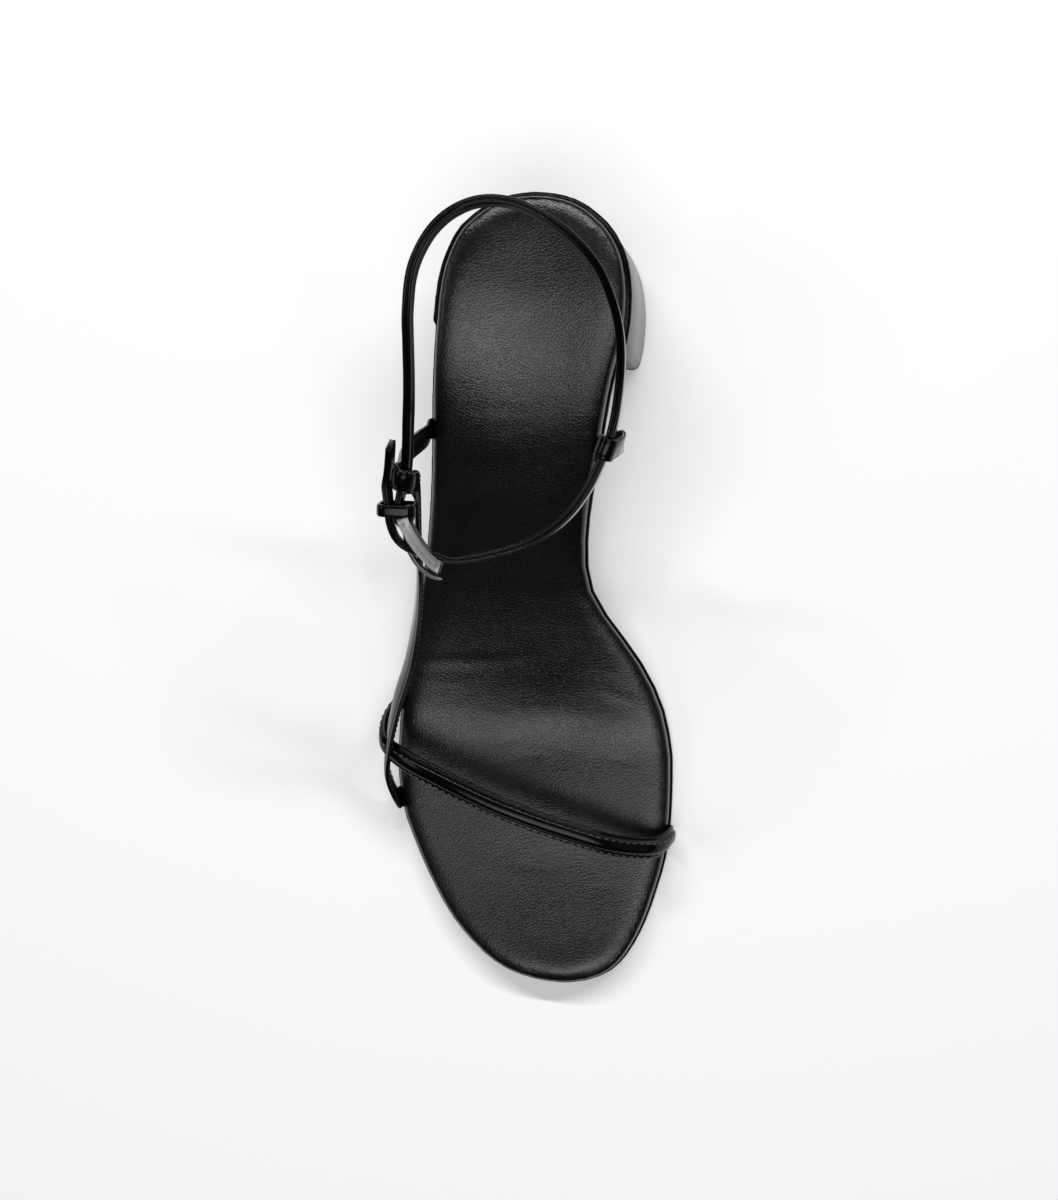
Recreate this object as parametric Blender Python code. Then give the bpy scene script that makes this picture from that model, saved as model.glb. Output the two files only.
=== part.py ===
"""Right shoe of a pair of strappy black leather sandals with a block heel.

Metres, +Z up, toes towards -Y, arch (medial) side towards +X.
The origin lies on the ground under the middle of the shoe.
"""

import math

import bmesh
import bpy
import numpy as np

# Sole
INSOLE_LENGTH = 0.2339
BALL_WIDTH = 0.085
HEEL_HEIGHT = 0.053
TOE_SPRING = 0.004
OUTSOLE_THICKNESS = 0.003
INSOLE_THICKNESS = 0.005
INSOLE_ROUNDING = 0.0032
EDGE_CHAMFER = 0.0005
LEDGE = 0.0008
HEEL_RIM = 0.0017
WAIST_TWIST = 0.0015

# Clearances: between rigid or flat pieces, between bent leather pieces, under a strap's tucked end,
# and round a strap inside the insole
GAP = 0.0003
EASY_GAP = 0.0004
TUCK_GAP = 0.0005
POCKET_GAP = 0.00025

# Heel
HEEL_LENGTH = 0.0407
HEEL_TURN = math.radians(7.5)
HEEL_FLARE = 0.0021
HEEL_CORNER = 0.003
TOP_PIECE_HEIGHT = 0.005
HEEL_SETBACK = 0.0002

# Straps
STRAP_WIDTH = 0.0065
TOE_STRAP_THICKNESS = 0.0027
LATERAL_STRAP_THICKNESS = 0.0019
STRAP_EDGE = 0.0013
TUCK_THICKNESS = 0.0010
TUCK_LENGTH = 0.0075
TUCK_BEND = 0.0014
TOE_STRAP_RISE = 0.0227
LATERAL_BOW = 0.0045
LATERAL_ROOT_THICKNESS = 0.0015
LATERAL_LEAN = 0.0006
LATERAL_SLANT = 0.0010
FOLD_DROP = 0.0052
LOOP_WIDTH = 0.006
LOOP_THICKNESS = 0.0012
LOOP_BULGE = 0.0040
LOOP_BULGE_TURN = 48.0

# Ankle strap, seen from above as a ring round the leg
ANKLE_REACH = 0.0445
ANKLE_HEIGHT = 0.0705
ANKLE_DROP = 0.0335
ANKLE_THICKNESS = 0.0023
ANKLE_STRAP_LENGTH_PAST_BAR = 0.0205
TAIL_THICKNESS = 0.0018
FOLD_THICKNESS = 0.0012
FOLD_RETURN = 0.0040

# Buckle and keeper
BAR_RADIUS = 0.0009
BAR_SETBACK = 0.00085
FRAME_LENGTH = 0.0146
FRAME_WIDTH = 0.0031
FRAME_RAIL = 0.0017
FRONT_BAR = 0.0019
FRAME_PLAY = 0.00035
FRAME_BOW = 0.0012
PRONG_RADIUS = 0.0008
PRONG_EYE_THICKNESS = 0.0012
PRONG_LIFT = 70.0
KEEPER_WIDTH = 0.0033
KEEPER_THICKNESS = 0.0011
KEEPER_CORNER = 0.0016

# Turns round the ankle, in degrees from the heel back towards the arch side
BAR_TURN = 223.1
LOOP_TURN = 124.0
LATERAL_FOLD_BEHIND_BAR = 0.0122

# Fineness of the faceted solids
MOST_STEP = 0.0045
MOST_BEND = math.radians(13)
STATIONS = 50
HEEL_WALL_POINTS = 40
NOTCH_HALF = 0.0004
NOTCH_FREE = 0.0009
SLOPE_STEP = 0.001
TANGENT_STEP = 0.0015
TINY = 1e-6

# Insole outline. along: share of INSOLE_LENGTH from the heel's back. lateral and medial: the two
# edges, as shares of half BALL_WIDTH from the long axis.
OUTLINE = (
    # along, lateral, medial
    (0.000, 0.125, 0.125),
    (0.010, -0.146, 0.405),
    (0.024, -0.264, 0.520),
    (0.038, -0.352, 0.602),
    (0.065, -0.437, 0.692),
    (0.092, -0.489, 0.734),
    (0.120, -0.518, 0.746),
    (0.150, -0.538, 0.734),
    (0.180, -0.556, 0.702),
    (0.225, -0.580, 0.632),
    (0.320, -0.621, 0.525),
    (0.370, -0.652, 0.462),
    (0.410, -0.686, 0.430),
    (0.440, -0.715, 0.419),
    (0.465, -0.751, 0.427),
    (0.492, -0.795, 0.472),
    (0.522, -0.839, 0.571),
    (0.555, -0.876, 0.704),
    (0.600, -0.925, 0.858),
    (0.650, -0.962, 0.962),
    (0.710, -0.982, 1.012),
    (0.760, -0.958, 1.007),
    (0.823, -0.845, 0.976),
    (0.886, -0.682, 0.884),
    (0.918, -0.574, 0.821),
    (0.949, -0.426, 0.736),
    (0.980, -0.212, 0.600),
    (1.000, 0.242, 0.242),
)

# Underside of the outsole. lift: share of HEEL_HEIGHT. spring: share of TOE_SPRING. twist: share of
# WAIST_TWIST, arch side up. dish: share of INSOLE_THICKNESS by which the footbed's middle rises.
PROFILE = (
    # along, lift, spring, twist, dish
    (0.000, 1.000, 0.00, 0.0, -0.06),
    (0.085, 0.975, 0.00, 0.0, -0.24),
    (0.178, 0.896, 0.00, 0.0, -0.22),
    (0.254, 0.783, 0.00, 0.6, -0.16),
    (0.338, 0.604, 0.00, 1.0, -0.06),
    (0.423, 0.396, 0.00, 1.0, 0.04),
    (0.507, 0.213, 0.00, 0.8, 0.10),
    (0.592, 0.079, 0.00, 0.3, 0.08),
    (0.650, 0.018, 0.00, 0.0, 0.00),
    (0.700, 0.000, 0.00, 0.0, -0.10),
    (0.770, 0.000, 0.00, 0.0, -0.12),
    (0.825, 0.000, 0.00, 0.0, -0.06),
    (0.875, 0.000, 0.10, 0.0, 0.00),
    (0.930, 0.000, 0.38, 0.0, 0.04),
    (1.000, 0.000, 1.00, 0.0, 0.00),
)

# Where the footbed's middle line stops short of the two round ends, as shares of the length
SPINE_ENDS = (0.12, 0.87)
# How the dish deepens from the edge (0) to the middle line (1)
DISH = (
    # inward, depth
    (0.30, 0.45),
    (0.60, 0.85),
    (1.00, 1.00),
)

# Ankle strap. turn: degrees. reach: share of ANKLE_REACH from the leg's axis. drop: share of
# ANKLE_DROP below the strap's highest point at the heel's back.
RING = (
    # turn, reach, drop
    (0, 0.990, 0.010),
    (17, 0.907, 0.100),
    (35, 0.820, 0.250),
    (53, 0.722, 0.430),
    (66, 0.664, 0.537),
    (80, 0.617, 0.630),
    (96, 0.592, 0.716),
    (115, 0.606, 0.800),
    (130, 0.642, 0.852),
    (147, 0.722, 0.910),
    (163, 0.822, 0.955),
    (179, 0.925, 0.985),
    (195, 1.038, 1.000),
    (200, 1.084, 0.997),
    (205, 1.108, 0.989),
    (211, 1.102, 0.978),
    (217, 1.083, 0.962),
    (223, 1.056, 0.940),
    (226.5, 1.000, 0.919),
    (229.4, 0.934, 0.893),
    (232.7, 0.866, 0.861),
    (240, 0.768, 0.776),
    (250, 0.690, 0.665),
    (262, 0.636, 0.540),
    (275, 0.622, 0.455),
    (290, 0.652, 0.360),
    (305, 0.735, 0.250),
    (320, 0.862, 0.140),
    (335, 0.968, 0.045),
    (348, 1.010, 0.006),
)
LEG_ACROSS = 0.14
LEG_ALONG = 0.254

# Toe strap between its two roots. across: 0 at the arch side's root, 1 at the outer side's. forward:
# share of the way between the roots along the foot. rise: share of TOE_STRAP_RISE above the footbed.
# face: degrees of the strap's outer face, 0 to the arch side and 90 up.
TOE_STRAP_ALONG = (0.806, 0.627)
TOE_STRAP = (
    # across, forward, rise, face
    (0.057, -0.053, 0.43, 25),
    (0.194, -0.014, 0.78, 66),
    (0.330, 0.070, 0.91, 82),
    (0.480, 0.175, 0.98, 88),
    (0.640, 0.303, 1.00, 92),
    (0.820, 0.475, 0.955, 100),
    (0.941, 0.597, 0.82, 122),
    (1.016, 0.702, 0.60, 158),
    (1.028, 0.816, 0.37, 176),
    (1.016, 0.919, 0.16, 180),
)

# Lateral strap, from its front root up to its fold over the ankle strap, and down to its rear root.
# way: share of the way from the root to the fold. climb: share of the rise. bow: share of
# LATERAL_BOW towards the outside. face: as above, for the side that lies on the ankle strap's far side.
LATERAL_STRAP_ALONG = (0.758, 0.277)
FRONT_LEG = (
    # way, climb, bow, face
    (0.088, 0.088, 0.80, -8),
    (0.195, 0.177, 0.86, -16),
    (0.332, 0.298, 0.50, -25),
    (0.459, 0.420, -0.12, -25),
    (0.586, 0.536, -0.42, -22),
    (0.739, 0.716, -0.55, -14),
    (0.838, 0.812, -0.32, -8),
    (0.919, 0.879, -0.14, -5),
    (0.976, 0.941, -0.04, -3),
)
REAR_LEG = (
    # way, climb, bow, face
    (0.220, 0.250, 0.13, 184),
    (0.440, 0.520, 0.20, 184),
    (0.740, 0.780, 0.14, 182),
)

# Medial loop: its outer leg between the sole's edge and the ankle strap, and where its inner leg
# lies beside it. climb: share of the rise. bulge: share of LOOP_BULGE away from the leg.
LOOP_ALONG = 0.300
LOOP_OUTER_LEG = (
    # climb, bulge
    (0.18, 0.12),
    (0.38, 0.45),
    (0.60, 0.85),
    (0.80, 1.00),
    (1.00, 0.55),
)
LOOP_INNER_LEG = (0.80, 0.60, 0.40, 0.20, 0.05)

# Ankle strap's free end inside the buckle. way: share of FRAME_LENGTH from the rear bar to the
# front bar. out: share of the offset at which it passes the rear bar.
FREE_END_IN_FRAME = (
    # way, out
    (0.00, 1.14),
    (0.17, 1.38),
    (0.36, 1.36),
    (0.58, 0.96),
    (0.80, 0.32),
    (0.95, 0.00),
)
# The same between the rear bar and the lateral strap. way: share of the distance. out: share of the
# step from passing the bar's fold to passing the lateral strap.
FREE_END_TO_STRAP = (
    # way, out
    (0.72, 0.96),
    (0.56, 0.68),
    (0.36, 0.26),
    (0.16, 0.12),
)
# Ankle strap's other end, from the lateral strap to the rear bar. way: share of that distance from
# the bar. out: share of the offset of the fold's outer layer. full: 1 whole strap, 0 thinned fold.
STRAP_TO_BAR = (
    # way, out, full
    (0.734, 0.20, 0.79),
    (0.221, 0.70, 0.37),
    (0.096, 1.00, 0.00),
)
# Its folded end inside the strap. way: share of FOLD_RETURN. out: share of the fold's inner offset.
FOLDED_END = (
    # way, out
    (0.45, 0.97),
    (1.00, 0.80),
)
# Room that the keeper leaves for the free end, as a share of the free end's step outwards
KEEPER_ROOM = 0.50
# Prong. way: share of FRAME_LENGTH. out: share of the step from the rear bar to the front bar's face.
PRONG = (
    # way, out
    (0.30, 0.42),
    (0.55, 0.74),
    (0.80, 0.94),
    (1.00, 1.00),
    (1.10, 0.98),
)

# Cross-section of a padded strap from its middle to its edge. across: share of the half width.
# swell: share of the step from the flat stitched rim up to the crown.
PADDED_HALF = (
    # across, swell
    (0.00, 1.00),
    (0.50, 0.75),
    (0.72, 0.00),
    (1.00, 0.00),
)
FLAT_EDGE_SOFTNESS = 0.35
FRAME_EDGE_SOFTNESS = 0.45

# name, colour, roughness, metallic
BLACK_LEATHER = ("black_leather", (0.012, 0.012, 0.013), 0.38, 0.0)
FOOTBED_LEATHER = ("footbed_leather", (0.016, 0.016, 0.017), 0.45, 0.0)
BLACK_RUBBER = ("black_rubber", (0.015, 0.015, 0.015), 0.7, 0.0)
GUNMETAL = ("gunmetal", (0.32, 0.32, 0.33), 0.3, 1.0)

HEEL_END = (INSOLE_LENGTH + HEEL_RIM + LEDGE) / 2 - HEEL_RIM
HALF_BALL = BALL_WIDTH / 2
UP = np.array((0.0, 0.0, 1.0))


def clear_scene():
    for item in list(bpy.data.objects):
        bpy.data.objects.remove(item, do_unlink=True)


def material(spec):
    name, colour, roughness, metallic = spec
    found = bpy.data.materials.get(name)
    if found:
        return found
    made = bpy.data.materials.new(name)
    made.use_nodes = True
    shader = made.node_tree.nodes["Principled BSDF"]
    shader.inputs["Base Color"].default_value = (*colour, 1.0)
    shader.inputs["Roughness"].default_value = roughness
    shader.inputs["Metallic"].default_value = metallic
    made.diffuse_color = (*colour, 1.0)
    return made


def unit(vector):
    return vector / np.linalg.norm(vector)


def smooth(table_x, table_y, x):
    """Cubic through the table's values that never overshoots them."""
    table_x = np.asarray(table_x, float)
    table_y = np.asarray(table_y, float)
    width = np.diff(table_x)
    rise = np.diff(table_y) / width
    slope = np.empty(len(table_x))
    slope[0], slope[-1] = rise[0], rise[-1]
    for i in range(1, len(rise)):
        before, after = rise[i - 1], rise[i]
        if before * after <= 0:
            slope[i] = 0
        else:
            a, b = 2 * width[i] + width[i - 1], width[i] + 2 * width[i - 1]
            slope[i] = (a + b) / (a / before + b / after)
    x = np.clip(np.asarray(x, float), table_x[0], table_x[-1])
    i = np.clip(np.searchsorted(table_x, x, side="right") - 1, 0, len(width) - 1)
    t = (x - table_x[i]) / width[i]
    return (
        table_y[i] * (1 + 2 * t) * (1 - t) ** 2
        + slope[i] * width[i] * t * (1 - t) ** 2
        + table_y[i + 1] * t**2 * (3 - 2 * t)
        + slope[i + 1] * width[i] * t**2 * (t - 1)
    )


def turned(along):
    """Shares of the length as angles, so that the outline closes round at both ends."""
    return np.arccos(1 - 2 * np.clip(along, 0, 1))


def outline_x(along, side):
    """Insole edge: side -1 is lateral, +1 medial."""
    rows = np.array(OUTLINE)
    column = 2 if side > 0 else 1
    return HALF_BALL * smooth(turned(rows[:, 0]), rows[:, column], turned(along))


def along_of(y):
    return (HEEL_END - y) / INSOLE_LENGTH


def y_of(along):
    return HEEL_END - INSOLE_LENGTH * along


def profile(y, column):
    rows = np.array(PROFILE)
    return float(smooth(rows[:, 0], rows[:, column], along_of(y)))


def ground_side(x, y):
    """Height of the outsole's underside."""
    twist = WAIST_TWIST * profile(y, 3) * x / HALF_BALL
    return HEEL_HEIGHT * profile(y, 1) + TOE_SPRING * profile(y, 2) + twist


def outsole_top(x, y):
    return ground_side(x, y) + OUTSOLE_THICKNESS


def sheet_normal(x, y):
    """Direction square to the sole at a point."""
    rise = ground_side(x, y + SLOPE_STEP) - ground_side(x, y - SLOPE_STEP)
    slope = rise / (2 * SLOPE_STEP)
    return unit(np.array((0.0, -slope, 1.0)))


def breast_y(x):
    """Front face of the heel, turned against the long axis."""
    middle = HALF_BALL * LEG_ACROSS
    back = HEEL_END + HEEL_RIM
    return back - HEEL_LENGTH - math.tan(HEEL_TURN) * (x - middle)


def notch_stations():
    """Pairs of stations just behind and before the heel's front face, one pair for each edge."""
    found = []
    for side in (-1, 1):
        low, high = 0.05, 0.4
        for _ in range(40):
            mid = (low + high) / 2
            if y_of(mid) > breast_y(float(outline_x(mid, side))):
                low = mid
            else:
                high = mid
        half_step = NOTCH_HALF / INSOLE_LENGTH
        found += [low - half_step, low + half_step]
    return found


def stations():
    turns = np.linspace(0, math.pi, STATIONS)
    even = (1 - np.cos(turns)) / 2
    notches = notch_stations()
    free = NOTCH_FREE / INSOLE_LENGTH
    kept = [a for a in even if all(abs(a - n) > free for n in notches)]
    return np.array(sorted(kept + notches))


def edge_ring():
    """Closed insole outline: points, their outward directions and their shares of the length."""
    along = stations()
    back = along[::-1][1:-1]
    sides = [(a, -1) for a in along] + [(a, 1) for a in back]
    points = np.array([(float(outline_x(a, s)), y_of(a)) for a, s in sides])
    ahead = np.roll(points, -1, axis=0) - points
    behind = points - np.roll(points, 1, axis=0)
    ahead /= np.linalg.norm(ahead, axis=1)[:, None]
    behind /= np.linalg.norm(behind, axis=1)[:, None]
    tangent = ahead + behind
    tangent /= np.linalg.norm(tangent, axis=1)[:, None]
    outward = np.column_stack((tangent[:, 1], -tangent[:, 0]))
    middle = points.mean(axis=0)
    if ((points - middle) * outward).sum() < 0:
        outward = -outward
    return points, outward, np.array([a for a, _ in sides])


def ledge(points):
    """How far the outsole stands out past the insole: more round the heel seat."""
    return np.array([HEEL_RIM if y > breast_y(x) else LEDGE for x, y in points])


def flush(points):
    """The insole ends at its own outline."""
    return np.zeros(len(points))


def spine(along):
    kept = np.clip(along, *SPINE_ENDS)
    middle = (outline_x(kept, -1) + outline_x(kept, 1)) / 2
    return np.column_stack((middle, y_of(kept)))


def new_object(name, mesh, spec):
    shape = bpy.data.objects.new(name, mesh)
    bpy.context.scene.collection.objects.link(shape)
    mesh.materials.append(material(spec))
    return shape


def finish(name, body, spec, sharp=40):
    bmesh.ops.remove_doubles(body, verts=body.verts, dist=2e-6)
    bmesh.ops.dissolve_degenerate(body, dist=1e-6, edges=body.edges)
    bmesh.ops.triangulate(body, faces=body.faces)
    bmesh.ops.recalc_face_normals(body, faces=body.faces)
    mesh = bpy.data.meshes.new(name)
    body.to_mesh(mesh)
    body.free()
    mesh.shade_smooth()
    mesh.set_sharp_from_angle(angle=math.radians(sharp))
    return new_object(name, mesh, spec)


def skin(rings, closed=False):
    """Faces between rings of equal count. Open lofts get a cap at each end."""
    body = bmesh.new()
    rows = [[body.verts.new(tuple(p)) for p in ring] for ring in rings]
    pairs = list(zip(rows[:-1], rows[1:]))
    if closed:
        pairs.append((rows[-1], rows[0]))
    for lower, upper in pairs:
        count = len(lower)
        for i in range(count):
            j = (i + 1) % count
            body.faces.new((lower[i], lower[j], upper[j], upper[i]))
    if not closed:
        body.faces.new(rows[0][::-1])
        body.faces.new(rows[-1])
    return body


def skin_to_spines(rings):
    """Faces between rings whose first and last collapse onto a line, so no caps are needed."""
    body = bmesh.new()
    rows = [[body.verts.new(tuple(p)) for p in ring] for ring in rings]
    for lower, upper in zip(rows[:-1], rows[1:]):
        count = len(lower)
        for i in range(count):
            j = (i + 1) % count
            body.faces.new((lower[i], lower[j], upper[j], upper[i]))
    return body


def slab(name, spec, outset, base, thickness, corner, corner_turns, dished):
    """A sole layer at height base over the sheet. corner: radius or chamfer of its upper edge."""
    points, outward, along = edge_ring()
    rim = points + outward * outset(points)[:, None]
    middle = spine(along)

    def ring(inset, share, height, dish=0.0):
        plan = rim - outward * inset
        plan = plan + (middle - plan) * share
        rows = []
        for x, y in plan:
            z = ground_side(x, y) + base + height + dish * INSOLE_THICKNESS * profile(y, 4)
            rows.append((x, y, z))
        return rows

    rings = [ring(EDGE_CHAMFER, share, 0) for share in (1, 0.5, 0)]
    rings.append(ring(0, 0, EDGE_CHAMFER))
    for degrees in corner_turns:
        angle = math.radians(degrees)
        rings.append(ring(corner * (1 - math.cos(angle)), 0, thickness - corner * (1 - math.sin(angle))))
    for inward, depth in DISH:
        rings.append(ring(corner, inward, thickness, depth if dished else 0.0))
    return finish(name, skin_to_spines(rings), spec)


def make_outsole():
    return slab("outsole", BLACK_LEATHER, ledge, 0.0, OUTSOLE_THICKNESS, EDGE_CHAMFER, (0, 90), False)


def make_insole():
    base, turns = OUTSOLE_THICKNESS + GAP, (0, 30, 60, 90)
    return slab("insole", FOOTBED_LEATHER, flush, base, INSOLE_THICKNESS, INSOLE_ROUNDING, turns, True)


def even_steps(line, count):
    """The polyline at equal steps of its length."""
    length = np.concatenate(([0], np.cumsum(np.linalg.norm(np.diff(line, axis=0), axis=1))))
    wanted = np.linspace(0, length[-1], count)
    return np.column_stack([np.interp(wanted, length, line[:, k]) for k in range(line.shape[1])])


def heel_outline(grow):
    """D-shaped outline of the heel, grown outwards: round back, straight front, soft corners."""
    points, outward, _ = edge_ring()
    wide = points + outward * (HEEL_RIM + grow)
    count = len(wide)
    front = np.array([y < breast_y(x) - grow for x, y in wide])
    start = next(i for i in range(count) if front[i - 1] and not front[i])
    back = [wide[(start + k) % count] for k in range(count) if not front[(start + k) % count]]

    def on_breast(inside, outside):
        a = inside[1] - (breast_y(inside[0]) - grow)
        b = outside[1] - (breast_y(outside[0]) - grow)
        return inside + (outside - inside) * a / (a - b)

    first = on_breast(back[0], wide[start - 1])
    last = on_breast(back[-1], wide[(start + len(back)) % count])
    arc = np.array([first, *back, last])
    fine = even_steps(arc, 10 * HEEL_WALL_POINTS)
    cut = max(2, int(HEEL_CORNER / np.linalg.norm(fine[1] - fine[0])))
    wall = even_steps(fine[cut:-cut], HEEL_WALL_POINTS)
    across = unit(last - first)
    left, right = last - across * HEEL_CORNER, first + across * HEEL_CORNER

    def corner(start_point, peak, end_point):
        shares = (0.25, 0.5, 0.75)
        return [
            start_point * (1 - s) ** 2 + peak * 2 * s * (1 - s) + end_point * s**2 for s in shares
        ]

    front_line = [left + (right - left) * s for s in (0, 0.25, 0.5, 0.75, 1)]
    ring = [*wall, *corner(wall[-1], last, left), *front_line, *corner(right, first, wall[0])]
    return np.array(ring)


def make_heel_block():
    top = heel_outline(-HEEL_SETBACK)
    bottom = heel_outline(HEEL_FLARE)
    low = TOP_PIECE_HEIGHT + GAP
    centre = top.mean(axis=0)

    def level(share, pull, lowest=0.0):
        plan = bottom + (top - bottom) * share
        plan = plan + (centre - plan) * pull
        rows = []
        for x, y in plan:
            high = ground_side(x, y) - GAP
            rows.append((x, y, low + lowest + (high - low - lowest) * share))
        return rows

    rings = [level(0, 1), level(0, 0.5), level(0, EDGE_CHAMFER / HEEL_LENGTH)]
    rings += [level(0, 0, EDGE_CHAMFER), level(0.5, 0), level(1, 0), level(1, 0.4)]
    rings += [level(1, 0.7), level(1, 1)]
    return finish("heel_block", skin_to_spines(rings), BLACK_LEATHER)


def make_heel_top_piece():
    outer = heel_outline(HEEL_FLARE - HEEL_SETBACK)
    inner = heel_outline(HEEL_FLARE - HEEL_SETBACK - EDGE_CHAMFER)
    rings = [
        [(x, y, 0.0) for x, y in inner],
        [(x, y, EDGE_CHAMFER) for x, y in outer],
        [(x, y, TOP_PIECE_HEIGHT) for x, y in outer],
    ]
    return finish("heel_top_piece", skin(rings), BLACK_RUBBER)


def curve_through(points, closed=False, fine=10):
    """Centripetal curve through the points. Extra columns are carried along."""
    points = np.asarray(points, float)
    count = len(points)
    if closed:
        order = [(i - 1) % count for i in range(count + 3)]
        points = points[order]
    else:
        points = np.vstack((2 * points[0] - points[1], points, 2 * points[-1] - points[-2]))
    line = []
    for i in range(1, len(points) - 2):
        p = points[i - 1 : i + 3]
        knots = [0.0]
        for k in range(3):
            knots.append(knots[-1] + max(np.linalg.norm(p[k + 1][:3] - p[k][:3]), 1e-7) ** 0.5)
        for t in np.linspace(knots[1], knots[2], fine, endpoint=False):
            a = [
                p[k] * (knots[k + 1] - t) / (knots[k + 1] - knots[k])
                + p[k + 1] * (t - knots[k]) / (knots[k + 1] - knots[k])
                for k in range(3)
            ]
            b = [
                a[k] * (knots[k + 2] - t) / (knots[k + 2] - knots[k])
                + a[k + 1] * (t - knots[k]) / (knots[k + 2] - knots[k])
                for k in range(2)
            ]
            share = (t - knots[1]) / (knots[2] - knots[1])
            line.append(b[0] * (1 - share) + b[1] * share)
    if not closed:
        line.append(points[-2])
    return np.array(line)


def spaced(line):
    """Keeps the points of a fine line that its bends and the longest step call for."""
    kept = [0]
    for i in range(1, len(line) - 1):
        run = np.linalg.norm(line[i, :3] - line[kept[-1], :3])
        ahead = unit(line[i + 1, :3] - line[i, :3])
        before = unit(line[kept[-1] + 1, :3] - line[kept[-1], :3])
        facing = unit(line[i, 3:6]) @ unit(line[kept[-1], 3:6])
        turn = max(math.acos(np.clip(ahead @ before, -1, 1)), math.acos(np.clip(facing, -1, 1)))
        if run >= MOST_STEP or turn >= MOST_BEND:
            kept.append(i)
    kept.append(len(line) - 1)
    return line[kept]


def strap_section(width, thickness, edge, both_sides):
    """Cross-section of a padded strap: flat stitched edges and a raised middle."""
    half, rim = width / 2, edge / 2
    crown = thickness / 2 if both_sides else thickness - rim
    right = [(half * across, rim + (crown - rim) * swell) for across, swell in PADDED_HALF]
    face = [(-across, out) for across, out in right[:0:-1]] + right
    if both_sides:
        back = [(-across, -out) for across, out in face]
    else:
        back = [(half, -rim), (-half, -rim)]
    return face + back


def flat_section(width, thickness):
    """Cross-section of a flat strap with softened edges."""
    half, out = width / 2, thickness / 2
    soft = FLAT_EDGE_SOFTNESS * thickness
    face = [(-half, out - soft), (-half + soft, out), (half - soft, out), (half, out - soft)]
    return face + [(-across, -o) for across, o in face]


def band(line, section, closed=False, grow=0.0):
    """Sweeps a section. line columns: place, direction of the outer face, share of the thickness."""
    count = len(line)
    rings = []
    for i in range(count):
        if closed:
            tangent = unit(line[(i + 1) % count, :3] - line[i - 1, :3])
        else:
            tangent = unit(line[min(i + 1, count - 1), :3] - line[max(i - 1, 0), :3])
        outward = unit(line[i, 3:6] - (line[i, 3:6] @ tangent) * tangent)
        side = np.cross(outward, tangent)
        share = line[i, 6]
        push = {0: -grow, count - 1: grow}.get(i, 0.0)
        ring = []
        for across, out in section:
            place = line[i, :3] + side * (across + math.copysign(grow, across) * (across != 0))
            place = place + outward * (out * share + math.copysign(grow, out) * (out != 0))
            ring.append(place + tangent * push)
        rings.append(ring)
    return skin(rings, closed)


def facing(degrees):
    """Direction of an outer face in the plane across the shoe: 0 to the arch side, 90 up."""
    angle = math.radians(degrees)
    return np.array((math.cos(angle), 0.0, math.sin(angle)))


def row(place, face, share=1.0):
    return np.concatenate((place, unit(face), (share,)))


def edge_at(along, side):
    """A place on the insole's edge, and the level direction out of the shoe there."""
    step = SLOPE_STEP / INSOLE_LENGTH
    x = float(outline_x(along, side))
    ahead, behind = (np.array((float(outline_x(a, side)), y_of(a))) for a in (along + step, along - step))
    run = unit(ahead - behind)
    outward = np.array((-run[1], run[0], 0.0)) * (1 if -run[1] * side > 0 else -1)
    return np.array((x, y_of(along), 0.0)), outward


def root(along, side, full_thickness, wall_thickness, facing_in=False):
    """Rows of a strap's end, from inside the sole up past the insole's edge."""
    edge, outward = edge_at(along, side)
    square = sheet_normal(edge[0], edge[1])
    tuck, wall = TUCK_THICKNESS / full_thickness, wall_thickness / full_thickness
    off = EASY_GAP + wall_thickness / 2
    sign = -1 if facing_in else 1

    def level(point):
        lifted = point.copy()
        lifted[2] = outsole_top(point[0], point[1]) + TUCK_GAP
        return lifted + square * TUCK_THICKNESS / 2

    rows = []
    inner = off - TUCK_BEND
    for share in (1.0, 0.5, 0.0):
        point = level(edge + outward * (inner - TUCK_LENGTH * share))
        rows.append(row(point, -square * sign, tuck))
    centre = level(edge + outward * inner) + square * TUCK_BEND
    for degrees in (30, 60, 90):
        angle = math.radians(degrees)
        swing = outward * math.sin(angle) - square * math.cos(angle)
        share = tuck + (wall - tuck) * degrees / 90
        rows.append(row(centre + swing * TUCK_BEND, swing * sign, share))
    rise = INSOLE_THICKNESS - TUCK_BEND
    rows.append(row(centre + outward * TUCK_BEND + square * rise, outward * sign, wall))
    return rows


def toe_strap_line():
    start = root(TOE_STRAP_ALONG[0], 1, TOE_STRAP_THICKNESS, LATERAL_STRAP_THICKNESS)
    end = root(TOE_STRAP_ALONG[1], -1, TOE_STRAP_THICKNESS, LATERAL_STRAP_THICKNESS)
    first, last = start[-1][:3], end[-1][:3]
    rows = list(start)
    for across, forward, rise, face in TOE_STRAP:
        x = first[0] + (last[0] - first[0]) * across
        y = first[1] + (last[1] - first[1]) * forward
        deck = outsole_top(0, y) + GAP + INSOLE_THICKNESS
        rows.append(row((x, y, deck + TOE_STRAP_RISE * rise), facing(face)))
    rows += end[::-1]
    return spaced(curve_through(rows))


def ring_line():
    """Fine closed centre line of the ankle strap: place and outward direction."""
    centre = np.array((HALF_BALL * LEG_ACROSS, y_of(LEG_ALONG)))
    top = outsole_top(0, HEEL_END) + GAP + INSOLE_THICKNESS + ANKLE_HEIGHT
    points = []
    for turn, reach, drop in RING:
        angle = math.radians(turn)
        x = centre[0] + ANKLE_REACH * reach * math.sin(angle)
        y = centre[1] + ANKLE_REACH * reach * math.cos(angle)
        points.append((x, y, top - ANKLE_DROP * drop))
    return curve_through(points, closed=True, fine=12)


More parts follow.
